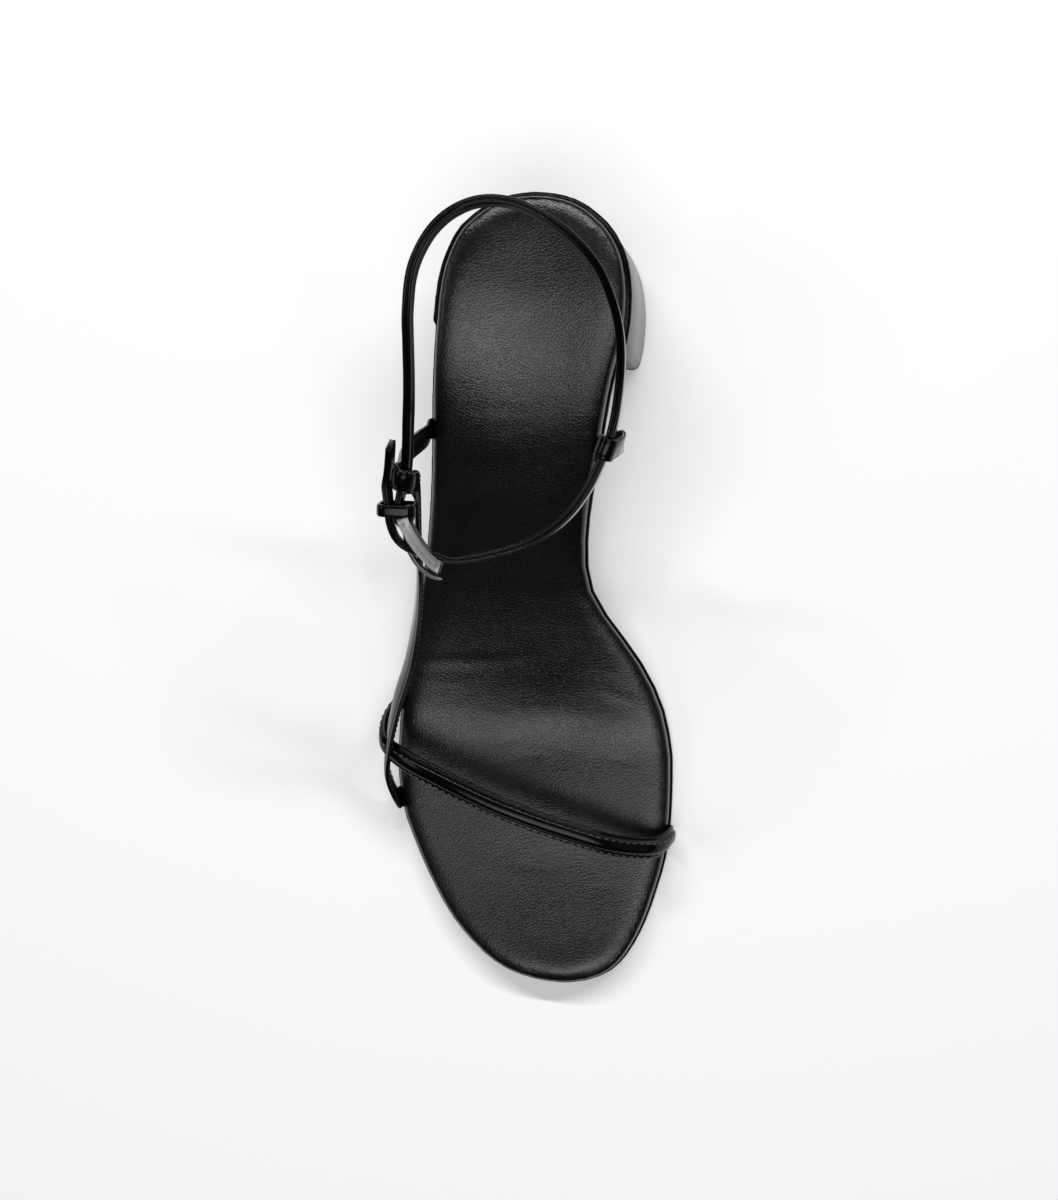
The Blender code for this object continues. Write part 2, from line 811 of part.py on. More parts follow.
class Ring:
    """The ankle strap's centre line, by distance from the buckle's rear bar towards the heel."""

    def __init__(self):
        line = ring_line()
        centre = np.array((HALF_BALL * LEG_ACROSS, y_of(LEG_ALONG)))
        turns = np.degrees(np.arctan2(line[:, 0] - centre[0], line[:, 1] - centre[1])) % 360
        start = int(np.argmin(np.abs(turns - BAR_TURN)))
        line = np.roll(line, -start, axis=0)
        self.turns = np.roll(turns, -start)
        self.line = np.vstack((line, line[:1]))
        steps = np.linalg.norm(np.diff(self.line, axis=0), axis=1)
        self.marks = np.concatenate(([0], np.cumsum(steps)))
        self.length = self.marks[-1]

    def place(self, distance):
        wanted = distance % self.length
        return np.array([np.interp(wanted, self.marks, self.line[:, k]) for k in range(3)])

    def tangent(self, distance):
        return unit(self.place(distance + TANGENT_STEP) - self.place(distance - TANGENT_STEP))

    def outward(self, distance):
        return unit(np.cross(UP, self.tangent(distance)))

    def up(self, distance):
        return unit(np.cross(self.tangent(distance), self.outward(distance)))

    def at(self, distance, offset=0.0, height=0.0):
        place = self.place(distance) + self.outward(distance) * offset
        return place + self.up(distance) * height

    def distance_of_turn(self, turn):
        gap = np.abs((self.turns - turn + 180) % 360 - 180)
        return float(self.marks[int(np.argmin(gap))])


def bar_offset():
    return -BAR_SETBACK


def fold_reach():
    """From the rear bar's axis to the middle of the leather folded round it."""
    return BAR_RADIUS + GAP + FOLD_THICKNESS / 2


def tail_offset():
    """Offset of the free end where it passes outside the bar's fold."""
    return bar_offset() + fold_reach() + FOLD_THICKNESS / 2 + GAP + TAIL_THICKNESS / 2


def lateral_clear():
    """From the ankle strap's middle to the middle of the lateral strap folded over it."""
    return ANKLE_THICKNESS / 2 + GAP + LATERAL_STRAP_THICKNESS / 2


def tail_clear():
    """Offset of the free end where it passes outside the lateral strap."""
    return lateral_clear() + LATERAL_STRAP_THICKNESS / 2 + EASY_GAP + TAIL_THICKNESS / 2


def ankle_strap_rows(ring):
    """From the free end's tip, once round the leg, to the end folded round the rear bar."""
    tail, fold = TAIL_THICKNESS / ANKLE_THICKNESS, FOLD_THICKNESS / ANKLE_THICKNESS
    near, clear = tail_offset(), tail_clear()
    fold_at = LATERAL_FOLD_BEHIND_BAR
    half = STRAP_WIDTH / 2
    rows = []

    def add(distance, offset, share):
        rows.append(row(ring.at(distance, offset), ring.outward(distance), share))

    add(ANKLE_STRAP_LENGTH_PAST_BAR, clear, tail)
    for distance in (fold_at + 2 * half, fold_at + half, fold_at):
        add(distance, clear, tail)
    for way, out in FREE_END_TO_STRAP:
        add(fold_at * way, near + (clear - near) * out, tail)
    for way, out in FREE_END_IN_FRAME:
        add(-FRAME_LENGTH * way, near * out, tail)
    add(-FRAME_LENGTH - half, 0, tail)
    body_start = -FRAME_LENGTH - 3 * half
    body_end = fold_at + 2 * half - ring.length
    count = int(abs(body_end - body_start) / MOST_STEP)
    for distance in np.linspace(body_start, body_end, count):
        add(distance, 0, 1.0)
    add(fold_at + half, 0, 1.0)
    add(fold_at, 0, 1.0)
    middle, outer = bar_offset(), bar_offset() + fold_reach()
    for way, out, full in STRAP_TO_BAR:
        add(fold_at * way, outer * out, fold + (1 - fold) * full)
    tangent, outward = ring.tangent(0), ring.outward(0)
    centre = ring.at(0, middle)
    for degrees in range(0, 181, 30):
        angle = math.radians(degrees)
        swing = outward * math.cos(angle) - tangent * math.sin(angle)
        rows.append(row(centre + swing * fold_reach(), swing, fold))
    inner = middle - fold_reach()
    for way, out in FOLDED_END:
        rows.append(row(ring.at(FOLD_RETURN * way, inner * out), -ring.outward(FOLD_RETURN * way), fold))
    return rows


def ankle_strap_line(ring):
    return spaced(curve_through(ankle_strap_rows(ring), fine=8))


def fold_rows(ring, distance, clear, above, inside_first, lean=0.0):
    """Rows of a strap folded over the ankle strap: one leg inside it and one outside."""
    rows = []
    order = (-90, -60, -30, 0, 30, 60, 90) if inside_first else (90, 60, 30, 0, -30, -60, -90)
    for degrees in order:
        angle = math.radians(degrees)
        walk = distance + lean * degrees / 90
        outward, up = ring.outward(walk), ring.up(walk)
        level = STRAP_WIDTH / 2 + above - clear
        place = ring.place(walk) + up * level
        swing = outward * math.sin(angle) + up * math.cos(angle)
        rows.append(row(place + swing * clear, swing))
    return rows


def lateral_strap_line(ring):
    thick = LATERAL_STRAP_THICKNESS
    start = root(LATERAL_STRAP_ALONG[0], -1, thick, LATERAL_ROOT_THICKNESS, facing_in=True)
    end = root(LATERAL_STRAP_ALONG[1], -1, thick, LATERAL_ROOT_THICKNESS)
    above = EASY_GAP + thick / 2
    fold = fold_rows(ring, LATERAL_FOLD_BEHIND_BAR, lateral_clear(), above, True, LATERAL_LEAN)
    rows = list(start)

    def leg(foot, head, table):
        found = []
        for way, climb, bow, face in table:
            place = foot + (head - foot) * way
            place[2] = foot[2] + (head[2] - foot[2]) * climb
            place[0] -= LATERAL_BOW * bow
            found.append(row(place, facing(face)))
        return found

    slant = ring.tangent(LATERAL_FOLD_BEHIND_BAR) * LATERAL_SLANT
    head = fold[0][:3] - UP * FOLD_DROP
    rows += leg(start[-1][:3], head, FRONT_LEG)
    rows.append(row(head, fold[0][3:6]))
    rows += fold
    tail = fold[-1][:3] - UP * FOLD_DROP + slant
    rows.append(row(tail, fold[-1][3:6]))
    rows += leg(end[-1][:3], tail, REAR_LEG)[::-1]
    rows += end[::-1]
    return spaced(curve_through(rows))


def medial_loop_line(ring):
    """Up from the sole's edge, over the ankle strap and down again beside itself."""
    thick = LOOP_THICKNESS
    start = root(LOOP_ALONG, 1, thick, thick)
    distance = ring.distance_of_turn(LOOP_TURN)
    above = EASY_GAP + thick / 2
    fold = fold_rows(ring, distance, ANKLE_THICKNESS / 2 + above, above, False)
    turn = math.radians(LOOP_BULGE_TURN)
    bulging = np.array((math.cos(turn), math.sin(turn), 0.0))
    foot, foot_face, top_face = start[-1][:3], start[-1][3:6], fold[0][3:6]
    head, inner_head = fold[0][:3] - UP * FOLD_DROP, fold[-1][:3] - UP * FOLD_DROP
    bulges = np.array([(0.0, 0.0), *LOOP_OUTER_LEG])

    def outer_leg(climb):
        bulge = float(smooth(bulges[:, 0], bulges[:, 1], climb)) * LOOP_BULGE
        low, middle, high = (1 - climb) ** 2, 2 * climb * (1 - climb), climb**2
        face = unit(foot_face * low + bulging * middle + top_face * high)
        return foot + (head - foot) * climb + bulging * bulge, face

    rows = start + [row(*outer_leg(climb)) for climb, _ in LOOP_OUTER_LEG] + fold
    rows.append(row(inner_head, fold[-1][3:6]))
    beside = thick + EASY_GAP
    for climb in LOOP_INNER_LEG:
        place, face = outer_leg(climb)
        close = place - face * beside
        straight = foot - foot_face * beside + (inner_head - foot + foot_face * beside) * climb
        rows.append(row(close + (straight - close) * climb**1.5, -face))
    return spaced(curve_through(rows))


def helper(name, body):
    """A shape that only cuts or joins another."""
    shape = finish(name, body, BLACK_LEATHER)
    shape.hide_render = True
    shape.display_type = "WIRE"
    return shape


def boolean(target, tool, operation):
    cut = target.modifiers.new(tool.name, "BOOLEAN")
    cut.object = tool
    cut.operation = operation
    cut.solver = "EXACT"


def make_straps(ring, insole, ankle_strap):
    toe_section = strap_section(STRAP_WIDTH, TOE_STRAP_THICKNESS, STRAP_EDGE, False)
    side_section = strap_section(STRAP_WIDTH, LATERAL_STRAP_THICKNESS, STRAP_EDGE, True)
    loop_section = flat_section(LOOP_WIDTH, LOOP_THICKNESS)
    toe_line, side_line, loop_line = toe_strap_line(), lateral_strap_line(ring), medial_loop_line(ring)
    upper = finish("upper", band(toe_line, toe_section), BLACK_LEATHER)
    boolean(upper, helper("lateral_strap", band(side_line, side_section)), "UNION")
    finish("medial_loop", band(loop_line, loop_section), BLACK_LEATHER)
    for name, line, section, crossed in (
        ("toe_strap_pocket", toe_line, toe_section, (insole,)),
        ("lateral_strap_pocket", side_line, side_section, (insole, ankle_strap)),
        ("medial_loop_pocket", loop_line, loop_section, (insole,)),
    ):
        pocket = helper(name, band(line, section, grow=POCKET_GAP))
        for piece in crossed:
            boolean(piece, pocket, "DIFFERENCE")


def make_ankle_strap(ring):
    section = flat_section(STRAP_WIDTH, ANKLE_THICKNESS)
    return finish("ankle_strap", band(ankle_strap_line(ring), section), BLACK_LEATHER)


def frame_middle(share):
    """Radial offset of the buckle frame's middle, from the rear bar (0) to the front bar (1)."""
    front = TAIL_THICKNESS / 2 + EASY_GAP + FRONT_BAR / 2
    return bar_offset() + (front - bar_offset()) * share


def make_buckle_frame(ring):
    """A plain rectangular frame, curved with the strap, with a thin round rear bar."""
    inner = STRAP_WIDTH / 2 + FRAME_PLAY
    high = inner + FRAME_RAIL / 2
    far, corner = FRAME_LENGTH, FRAME_RAIL
    path = []

    def arc(x, z, first):
        for degrees in (0, 45, 90):
            angle = math.radians(first + degrees)
            path.append((x + corner * math.cos(angle), z + corner * math.sin(angle)))

    arc(far - corner, high - corner, 0)
    path += [(far * share, high) for share in (0.8, 0.6, 0.4, 0.2)]
    arc(corner, high - corner, 90)
    path += [(0.0, (high - corner) * share) for share in (0.6, 0.2, -0.2, -0.6)]
    arc(corner, corner - high, 180)
    path += [(far * share, -high) for share in (0.2, 0.4, 0.6, 0.8)]
    arc(far - corner, corner - high, 270)
    path += [(far, (high - corner) * share) for share in (-0.6, -0.2, 0.2, 0.6)]
    rings = []
    count = len(path)
    for i, (along, height) in enumerate(path):
        share = along / FRAME_LENGTH
        distance = -along
        bow = FRAME_BOW * (1 - (height / high) ** 2) if share > 0.5 else 0.0
        middle = ring.at(distance, frame_middle(share) + bow, height)
        radial = ring.outward(distance)
        before, after = path[i - 1], path[(i + 1) % count]
        step = unit(np.array((after[0] - before[0], after[1] - before[1])))
        inward = -ring.tangent(distance) * -step[1] + ring.up(distance) * -step[0]
        upright = abs(height) < high - corner + TINY
        if upright:
            half_out = half_in = BAR_RADIUS if share < 0.5 else FRONT_BAR / 2
        else:
            half_out, half_in = FRAME_WIDTH / 2, FRAME_RAIL / 2
        soft = FRAME_EDGE_SOFTNESS
        shape = ((1, soft), (soft, 1), (-soft, 1), (-1, soft))
        shape += ((-1, -soft), (-soft, -1), (soft, -1), (1, -soft))
        rings.append([middle + radial * half_out * a + inward * half_in * b for a, b in shape])
    return finish("buckle_frame", skin(rings, closed=True), GUNMETAL)


def make_keeper(ring):
    """A leather ring round the strap, its folded end and its free end."""
    distance = BAR_RADIUS + EASY_GAP + KEEPER_WIDTH / 2
    inside = bar_offset() - fold_reach() - FOLD_THICKNESS / 2 - GAP - KEEPER_THICKNESS / 2
    tail = tail_offset() + (tail_clear() - tail_offset()) * KEEPER_ROOM
    outside = tail + TAIL_THICKNESS / 2 + GAP + KEEPER_THICKNESS / 2
    high = STRAP_WIDTH / 2 + EASY_GAP + KEEPER_THICKNESS / 2
    corner = KEEPER_CORNER
    middle, reach = (inside + outside) / 2, (outside - inside) / 2
    path = []
    for sx, sz, first in ((1, 1, 0), (-1, 1, 90), (-1, -1, 180), (1, -1, 270)):
        for degrees in (0, 30, 60, 90):
            angle = math.radians(first + degrees)
            out = sx * (reach - corner) + corner * math.cos(angle)
            up = sz * (high - corner) + corner * math.sin(angle)
            path.append((middle + out, up))
    outward, upward = ring.outward(distance), ring.up(distance)
    centre = ring.place(distance)
    rows = []
    count = len(path)
    for i, (out, up) in enumerate(path):
        before, after = path[i - 1], path[(i + 1) % count]
        step = unit(np.array((after[0] - before[0], after[1] - before[1])))
        face = outward * step[1] - upward * step[0]
        rows.append(row(centre + outward * out + upward * up, face))
    section = flat_section(KEEPER_WIDTH, KEEPER_THICKNESS)
    return finish("keeper", band(np.array(rows), section, closed=True), BLACK_LEATHER)


def prong_parts(ring, grow):
    """The prong: an eye round the rear bar and a pin to the front bar's outer face."""
    bar, tangent, outward = ring.at(0, bar_offset()), ring.tangent(0), ring.outward(0)
    eye = BAR_RADIUS + GAP + PRONG_EYE_THICKNESS / 2

    def around(degrees):
        angle = math.radians(degrees)
        return outward * math.cos(angle) - tangent * math.sin(angle)

    rows = [row(bar + around(degrees) * eye, around(degrees)) for degrees in range(0, 360, 30)]
    corners = [math.radians(degrees + 22.5) for degrees in range(0, 360, 45)]
    size = PRONG_RADIUS + grow
    octagon = [(size * math.cos(angle), size * math.sin(angle)) for angle in corners]
    slim = [(across, out * PRONG_EYE_THICKNESS / 2 / PRONG_RADIUS) for across, out in octagon]
    front_offset = frame_middle(1) + FRAME_BOW + FRONT_BAR / 2 + GAP + PRONG_RADIUS
    pin = [row(bar + around(PRONG_LIFT) * eye, outward)]
    for way, out in PRONG:
        offset = bar_offset() + (front_offset - bar_offset()) * out
        pin.append(row(ring.at(-FRAME_LENGTH * way, offset), ring.outward(-FRAME_LENGTH * way)))
    pin_line = spaced(curve_through(pin, fine=6))
    if grow:
        pin_line[0, :3] -= unit(pin_line[1, :3] - pin_line[0, :3]) * grow
        pin_line[-1, :3] += unit(pin_line[-1, :3] - pin_line[-2, :3]) * grow
    return band(np.array(rows), slim, closed=True), band(pin_line, octagon)


def make_prong(ring, strap):
    eye, pin = prong_parts(ring, 0.0)
    prong = finish("buckle_prong", pin, GUNMETAL)
    boolean(prong, helper("prong_eye", eye), "UNION")
    boolean(strap, helper("prong_eye_slot", prong_parts(ring, EASY_GAP)[0]), "DIFFERENCE")
    boolean(strap, helper("prong_pin_slot", prong_parts(ring, GAP)[1]), "DIFFERENCE")


def main():
    clear_scene()
    ring = Ring()
    make_outsole()
    insole = make_insole()
    make_heel_block()
    make_heel_top_piece()
    ankle_strap = make_ankle_strap(ring)
    make_straps(ring, insole, ankle_strap)
    make_keeper(ring)
    make_buckle_frame(ring)
    make_prong(ring, ankle_strap)


main()
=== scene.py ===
# %% [markdown]
# # Dressing a heeled sandal in black leather
# The solid model already holds the true sizes of the right shoe: sole, heel, straps and buckle. This
# lesson gives it its looks. Leather straps get their padded middle, their two layers and their
# stitches, the footbed gets the soft hollows of a worked insole, and each material gets its grain.

# %% Load the solid model
import math

import bmesh
import bpy
import numpy as np
from mathutils import Matrix, Vector
from mathutils.bvhtree import BVHTree
from mathutils.kdtree import KDTree


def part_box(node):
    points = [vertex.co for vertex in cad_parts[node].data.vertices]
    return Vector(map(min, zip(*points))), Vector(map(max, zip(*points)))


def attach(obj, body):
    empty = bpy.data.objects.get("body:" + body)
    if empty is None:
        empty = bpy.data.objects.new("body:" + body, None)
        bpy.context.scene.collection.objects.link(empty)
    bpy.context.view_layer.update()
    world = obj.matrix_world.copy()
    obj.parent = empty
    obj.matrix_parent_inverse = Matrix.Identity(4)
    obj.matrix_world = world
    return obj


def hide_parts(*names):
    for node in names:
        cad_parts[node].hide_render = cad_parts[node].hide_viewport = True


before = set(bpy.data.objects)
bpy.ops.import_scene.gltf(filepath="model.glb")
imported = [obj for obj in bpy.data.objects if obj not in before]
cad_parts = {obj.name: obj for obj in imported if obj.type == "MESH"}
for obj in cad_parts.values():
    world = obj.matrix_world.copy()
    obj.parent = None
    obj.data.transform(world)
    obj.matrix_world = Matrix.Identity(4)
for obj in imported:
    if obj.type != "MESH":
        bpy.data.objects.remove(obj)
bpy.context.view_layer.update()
bpy.ops.object.select_all(action="DESELECT")
print("pieces of the solid model:", ", ".join(sorted(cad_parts)))

# %% [markdown]
# ## Where to stand
# A long look from straight above shows a sandal's outline without much distortion. The camera hangs
# 650 mm over the floor, a little to the arch side, and turns a few degrees to centre the shoe. The
# toes point to the foot of the picture.

# %% Camera
CAMERA_PLACE = Vector((0.0601, 0.0050, 0.650))
CAMERA_AIM = Vector((0.0005, 0.0008, 0.020))
CAMERA_LENS = 62.4

camera_data = bpy.data.cameras.new("overhead_camera")
camera_data.lens = CAMERA_LENS
camera_data.sensor_width = 36.0
camera = bpy.data.objects.new("overhead_camera", camera_data)
bpy.context.scene.collection.objects.link(camera)
camera.location = CAMERA_PLACE
back = (CAMERA_PLACE - CAMERA_AIM).normalized()
right = Vector((0.0, 1.0, 0.0)).cross(back).normalized()
picture_up = back.cross(right)
camera.rotation_mode = "QUATERNION"
camera.rotation_quaternion = Matrix((right, picture_up, back)).transposed().to_quaternion()
bpy.context.scene.camera = camera
print("camera tilt from straight down:", round(math.degrees(math.acos(back.z)), 1), "degrees")

# %% [markdown]
# ## Reading sizes off the model
# The straps have to spring from the edge of the real sole, so their roots are found by sending rays
# at the model: down onto the outsole for a height, and in from the side for the insole's edge.

# %% Feel the model with rays
UP = np.array((0.0, 0.0, 1.0))
GAP = 0.0003
EASY_GAP = 0.0004
TUCK_GAP = 0.0005
INSOLE_THICKNESS = 0.005
RAY_START = 0.08
RAY_SPREAD = 0.006
RAY_RISE = 0.0012
UNDER_EDGE = 0.02


def unit(vector):
    return vector / np.linalg.norm(vector)


def shell(name):
    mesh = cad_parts[name].data
    return BVHTree.FromPolygons([v.co.copy() for v in mesh.vertices], [p.vertices[:] for p in mesh.polygons])


shells = {name: shell(name) for name in ("outsole", "insole")}
heel_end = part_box("insole")[1].y
insole_length = heel_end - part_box("insole")[0].y


def y_of(along):
    return heel_end - insole_length * along


def sole_top(x, y):
    """Height and direction of the outsole's upper face."""
    place, normal, _, _ = shells["outsole"].ray_cast(Vector((x, y, 0.2)), Vector((0, 0, -1)))
    return place.z, np.array(normal)


def insole_edge(along, side):
    """A place on the insole's edge and the level direction out of it, from two rays beside it."""
    found = []
    for y in (y_of(along) + RAY_SPREAD, y_of(along) - RAY_SPREAD):
        height = sole_top(UNDER_EDGE * side, y)[0] + GAP + RAY_RISE
        start = Vector((RAY_START * side, y, height))
        found.append(np.array(shells["insole"].ray_cast(start, Vector((-side, 0, 0)))[0]))
    run = unit(found[0] - found[1])
    outward = unit(np.array((run[1], -run[0], 0.0)) * side)
    return (found[0] + found[1]) / 2 * (1, 1, 0), outward


print("insole length:", round(insole_length * 1000, 1), "mm")

# %% [markdown]
# ## Drawing a strap's middle line
# A strap is a narrow band with a place and a facing at every point of its way. Its middle line is a
# smooth curve through a few chosen places, and each place also says which way the outer face looks.
# A Blender curve could give the same way, but its twist is hard to steer where a strap folds back.

# %% Curves
def curve_through(points, closed=False, fine=10):
    """Smooth curve through the points. Extra columns are carried along."""
    points = np.asarray(points, float)
    count = len(points)
    if closed:
        points = points[[(i - 1) % count for i in range(count + 3)]]
    else:
        points = np.vstack((2 * points[0] - points[1], points, 2 * points[-1] - points[-2]))
    line = []
    for i in range(1, len(points) - 2):
        p = points[i - 1 : i + 3]
        knots = [0.0]
        for k in range(3):
            knots.append(knots[-1] + max(np.linalg.norm(p[k + 1][:3] - p[k][:3]), 1e-7) ** 0.5)
        for t in np.linspace(knots[1], knots[2], fine, endpoint=False):
            a = [
                p[k] * (knots[k + 1] - t) / (knots[k + 1] - knots[k])
                + p[k + 1] * (t - knots[k]) / (knots[k + 1] - knots[k])
                for k in range(3)
            ]
            b = [
                a[k] * (knots[k + 2] - t) / (knots[k + 2] - knots[k])
                + a[k + 1] * (t - knots[k]) / (knots[k + 2] - knots[k])
                for k in range(2)
            ]
            share = (t - knots[1]) / (knots[2] - knots[1])
            line.append(b[0] * (1 - share) + b[1] * share)
    if not closed:
        line.append(points[-2])
    return np.array(line)


def row(place, face, share=1.0):
    """One point of a strap: place, direction of its outer face, share of its full thickness."""
    return np.concatenate((place, unit(np.asarray(face, float)), (share,)))


def facing(degrees):
    """Direction across the shoe: 0 to the arch side, 90 up."""
    return np.array((math.cos(math.radians(degrees)), 0.0, math.sin(math.radians(degrees))))


def marks_along(line):
    """How far along the line each of its points lies."""
    return np.concatenate(([0], np.cumsum(np.linalg.norm(np.diff(line[:, :3], axis=0), axis=1))))


def evened(line, step):
    """The line at equal steps of its length."""
    marks = marks_along(line)
    wanted = np.linspace(0, marks[-1], max(3, int(marks[-1] / step)))
    return np.column_stack([np.interp(wanted, marks, column) for column in line.T])


def millimetres(line):
    return round(marks_along(line)[-1] * 1000)


print("curve helpers are ready")

# %% [markdown]
# ## Where a strap enters the sole
# The maker tucks each strap between insole and outsole before the sole is glued, so it comes out of
# the seam, turns up and climbs past the insole's edge. Every root is built by one function, because
# all of them do the same and only their place, their side and their thickness differ.

# %% Strap roots
TUCK_THICKNESS = 0.0010
TUCK_LENGTH = 0.0075
TUCK_BEND = 0.0014
JUST_INSIDE = 0.96


def root(along, side, full, wall, facing_in=False):
    """Rows out of the seam and up past the edge. The strap is as thick as wall there, full elsewhere."""
    edge, outward = insole_edge(along, side)
    square = sole_top(edge[0] * JUST_INSIDE, edge[1])[1]
    square[0] = 0.0
    square = unit(square)
    tuck, wall_share = TUCK_THICKNESS / full, wall / full
    sign = -1 if facing_in else 1
    inner = EASY_GAP + wall / 2 - TUCK_BEND
    rows = []
    for share in (1.0, 0.5, 0.0):
        point = edge + outward * (inner - TUCK_LENGTH * share)
        point[2] = sole_top(point[0], point[1])[0] + TUCK_GAP
        rows.append(row(point + square * TUCK_THICKNESS / 2, -square * sign, tuck))
    centre = rows[-1][:3] + square * TUCK_BEND
    for degrees in (30, 60, 90):
        angle = math.radians(degrees)
        swing = outward * math.sin(angle) - square * math.cos(angle)
        share = tuck + (wall_share - tuck) * degrees / 90
        rows.append(row(centre + swing * TUCK_BEND, swing * sign, share))
    rise = INSOLE_THICKNESS - TUCK_BEND
    rows.append(row(centre + outward * TUCK_BEND + square * rise, outward * sign, wall_share))
    return rows


print("a root tucks", TUCK_LENGTH * 1000, "mm into the seam")

# %% [markdown]
# ## The toe strap
# It crosses the ball of the foot at a slant, low at the arch side and curling far out at the outer
# side. The table gives its arch as shares of the way between its two roots, so it follows the sole.

# %% Toe strap line
STRAP_WIDTH = 0.0065
TOE_STRAP_THICKNESS = 0.0027
LATERAL_STRAP_THICKNESS = 0.0019
STRAP_EDGE = 0.0013
STRAP_STEP = 0.0007
TOE_STRAP_RISE = 0.0227
TOE_STRAP = (
    # across, forward, rise, face
    (0.057, -0.053, 0.43, 25),
    (0.194, -0.014, 0.78, 66),
    (0.330, 0.070, 0.91, 82),
    (0.480, 0.175, 0.98, 88),
    (0.640, 0.303, 1.00, 92),
    (0.820, 0.475, 0.955, 100),
    (0.941, 0.597, 0.82, 122),
    (1.016, 0.702, 0.60, 158),
    (1.028, 0.816, 0.37, 176),
    (1.016, 0.919, 0.16, 180),
)


def toe_strap_line():
    start = root(0.806, 1, TOE_STRAP_THICKNESS, LATERAL_STRAP_THICKNESS)
    end = root(0.627, -1, TOE_STRAP_THICKNESS, LATERAL_STRAP_THICKNESS)
    first, last = start[-1][:3], end[-1][:3]
    rows = list(start)
    for across, forward, rise, face in TOE_STRAP:
        x = first[0] + (last[0] - first[0]) * across
        y = first[1] + (last[1] - first[1]) * forward
        deck = sole_top(0, y)[0] + GAP + INSOLE_THICKNESS
        rows.append(row((x, y, deck + TOE_STRAP_RISE * rise), facing(face)))
    return curve_through(rows + end[::-1])


toe_line = evened(toe_strap_line(), STRAP_STEP)
print("toe strap:", millimetres(toe_line), "mm long")

# %% [markdown]
# ## The ankle strap's way round the leg
# Seen from above the ankle strap is a ring, wide at the heel's back, narrow at the sides and bulging
# at the buckle, and it hangs lower in front. Angles and shares of two sizes describe it well. All that
# sits on the strap, such as the buckle and the folds, then takes its place by a distance along it.

# %% Ring sizes
ANKLE_REACH = 0.0445
ANKLE_HEIGHT = 0.0705
ANKLE_DROP = 0.0335
LEG_MIDDLE_X = 0.00595
LEG_ALONG = 0.254
BAR_TURN = 223.1
TANGENT_REACH = 0.0015
RING = (
    # turn, reach, drop
    (0, 0.990, 0.010),
    (17, 0.907, 0.100),
    (35, 0.820, 0.250),
    (53, 0.722, 0.430),
    (66, 0.664, 0.537),
    (80, 0.617, 0.630),
    (96, 0.592, 0.716),
    (115, 0.606, 0.800),
    (130, 0.642, 0.852),
    (147, 0.722, 0.910),
    (163, 0.822, 0.955),
    (179, 0.925, 0.985),
    (195, 1.038, 1.000),
    (200, 1.084, 0.997),
    (205, 1.108, 0.989),
    (211, 1.102, 0.978),
    (217, 1.083, 0.962),
    (223, 1.056, 0.940),
    (226.5, 1.000, 0.919),
    (229.4, 0.934, 0.893),
    (232.7, 0.866, 0.861),
    (240, 0.768, 0.776),
    (250, 0.690, 0.665),
    (262, 0.636, 0.540),
    (275, 0.622, 0.455),
    (290, 0.652, 0.360),
    (305, 0.735, 0.250),
    (320, 0.862, 0.140),
    (335, 0.968, 0.045),
    (348, 1.010, 0.006),
)
print("ring table:", len(RING), "places round the leg")


# %% Ring round the ankle
class Ring:
    """Middle line of the ankle strap, by distance from the buckle's rear bar towards the heel."""

    def __init__(self):
        centre = np.array((LEG_MIDDLE_X, y_of(LEG_ALONG)))
        top = sole_top(0, heel_end - 0.003)[0] + GAP + INSOLE_THICKNESS + ANKLE_HEIGHT
        points = []
        for turn, reach, drop in RING:
            angle = math.radians(turn)
            x = centre[0] + ANKLE_REACH * reach * math.sin(angle)
            y = centre[1] + ANKLE_REACH * reach * math.cos(angle)
            points.append((x, y, top - ANKLE_DROP * drop))
        line = curve_through(points, closed=True, fine=12)
        turns = np.degrees(np.arctan2(line[:, 0] - centre[0], line[:, 1] - centre[1])) % 360
        start = int(np.argmin(np.abs(turns - BAR_TURN)))
        self.turns = np.roll(turns, -start)
        line = np.roll(line, -start, axis=0)
        self.line = np.vstack((line, line[:1]))
        self.marks = marks_along(self.line)
        self.length = self.marks[-1]

    def place(self, distance):
        wanted = distance % self.length
        return np.array([np.interp(wanted, self.marks, column) for column in self.line.T])

    def tangent(self, distance):
        return unit(self.place(distance + TANGENT_REACH) - self.place(distance - TANGENT_REACH))

    def outward(self, distance):
        return unit(np.cross(UP, self.tangent(distance)))

    def up(self, distance):
        return unit(np.cross(self.tangent(distance), self.outward(distance)))

    def at(self, distance, offset=0.0, height=0.0):
        return self.place(distance) + self.outward(distance) * offset + self.up(distance) * height

    def distance_of_turn(self, turn):
        return float(self.marks[int(np.argmin(np.abs((self.turns - turn + 180) % 360 - 180)))])


ring = Ring()
print("way round the ankle:", round(ring.length * 1000), "mm")

# %% [markdown]
# ## The ankle strap
# One band does everything: from its free end it passes outside the lateral strap and the buckle's
# bar, dives through the frame, runs once round the leg and ends folded round the bar. Its offsets are
# sums of thicknesses and clearances, so the layers lie on each other without touching.

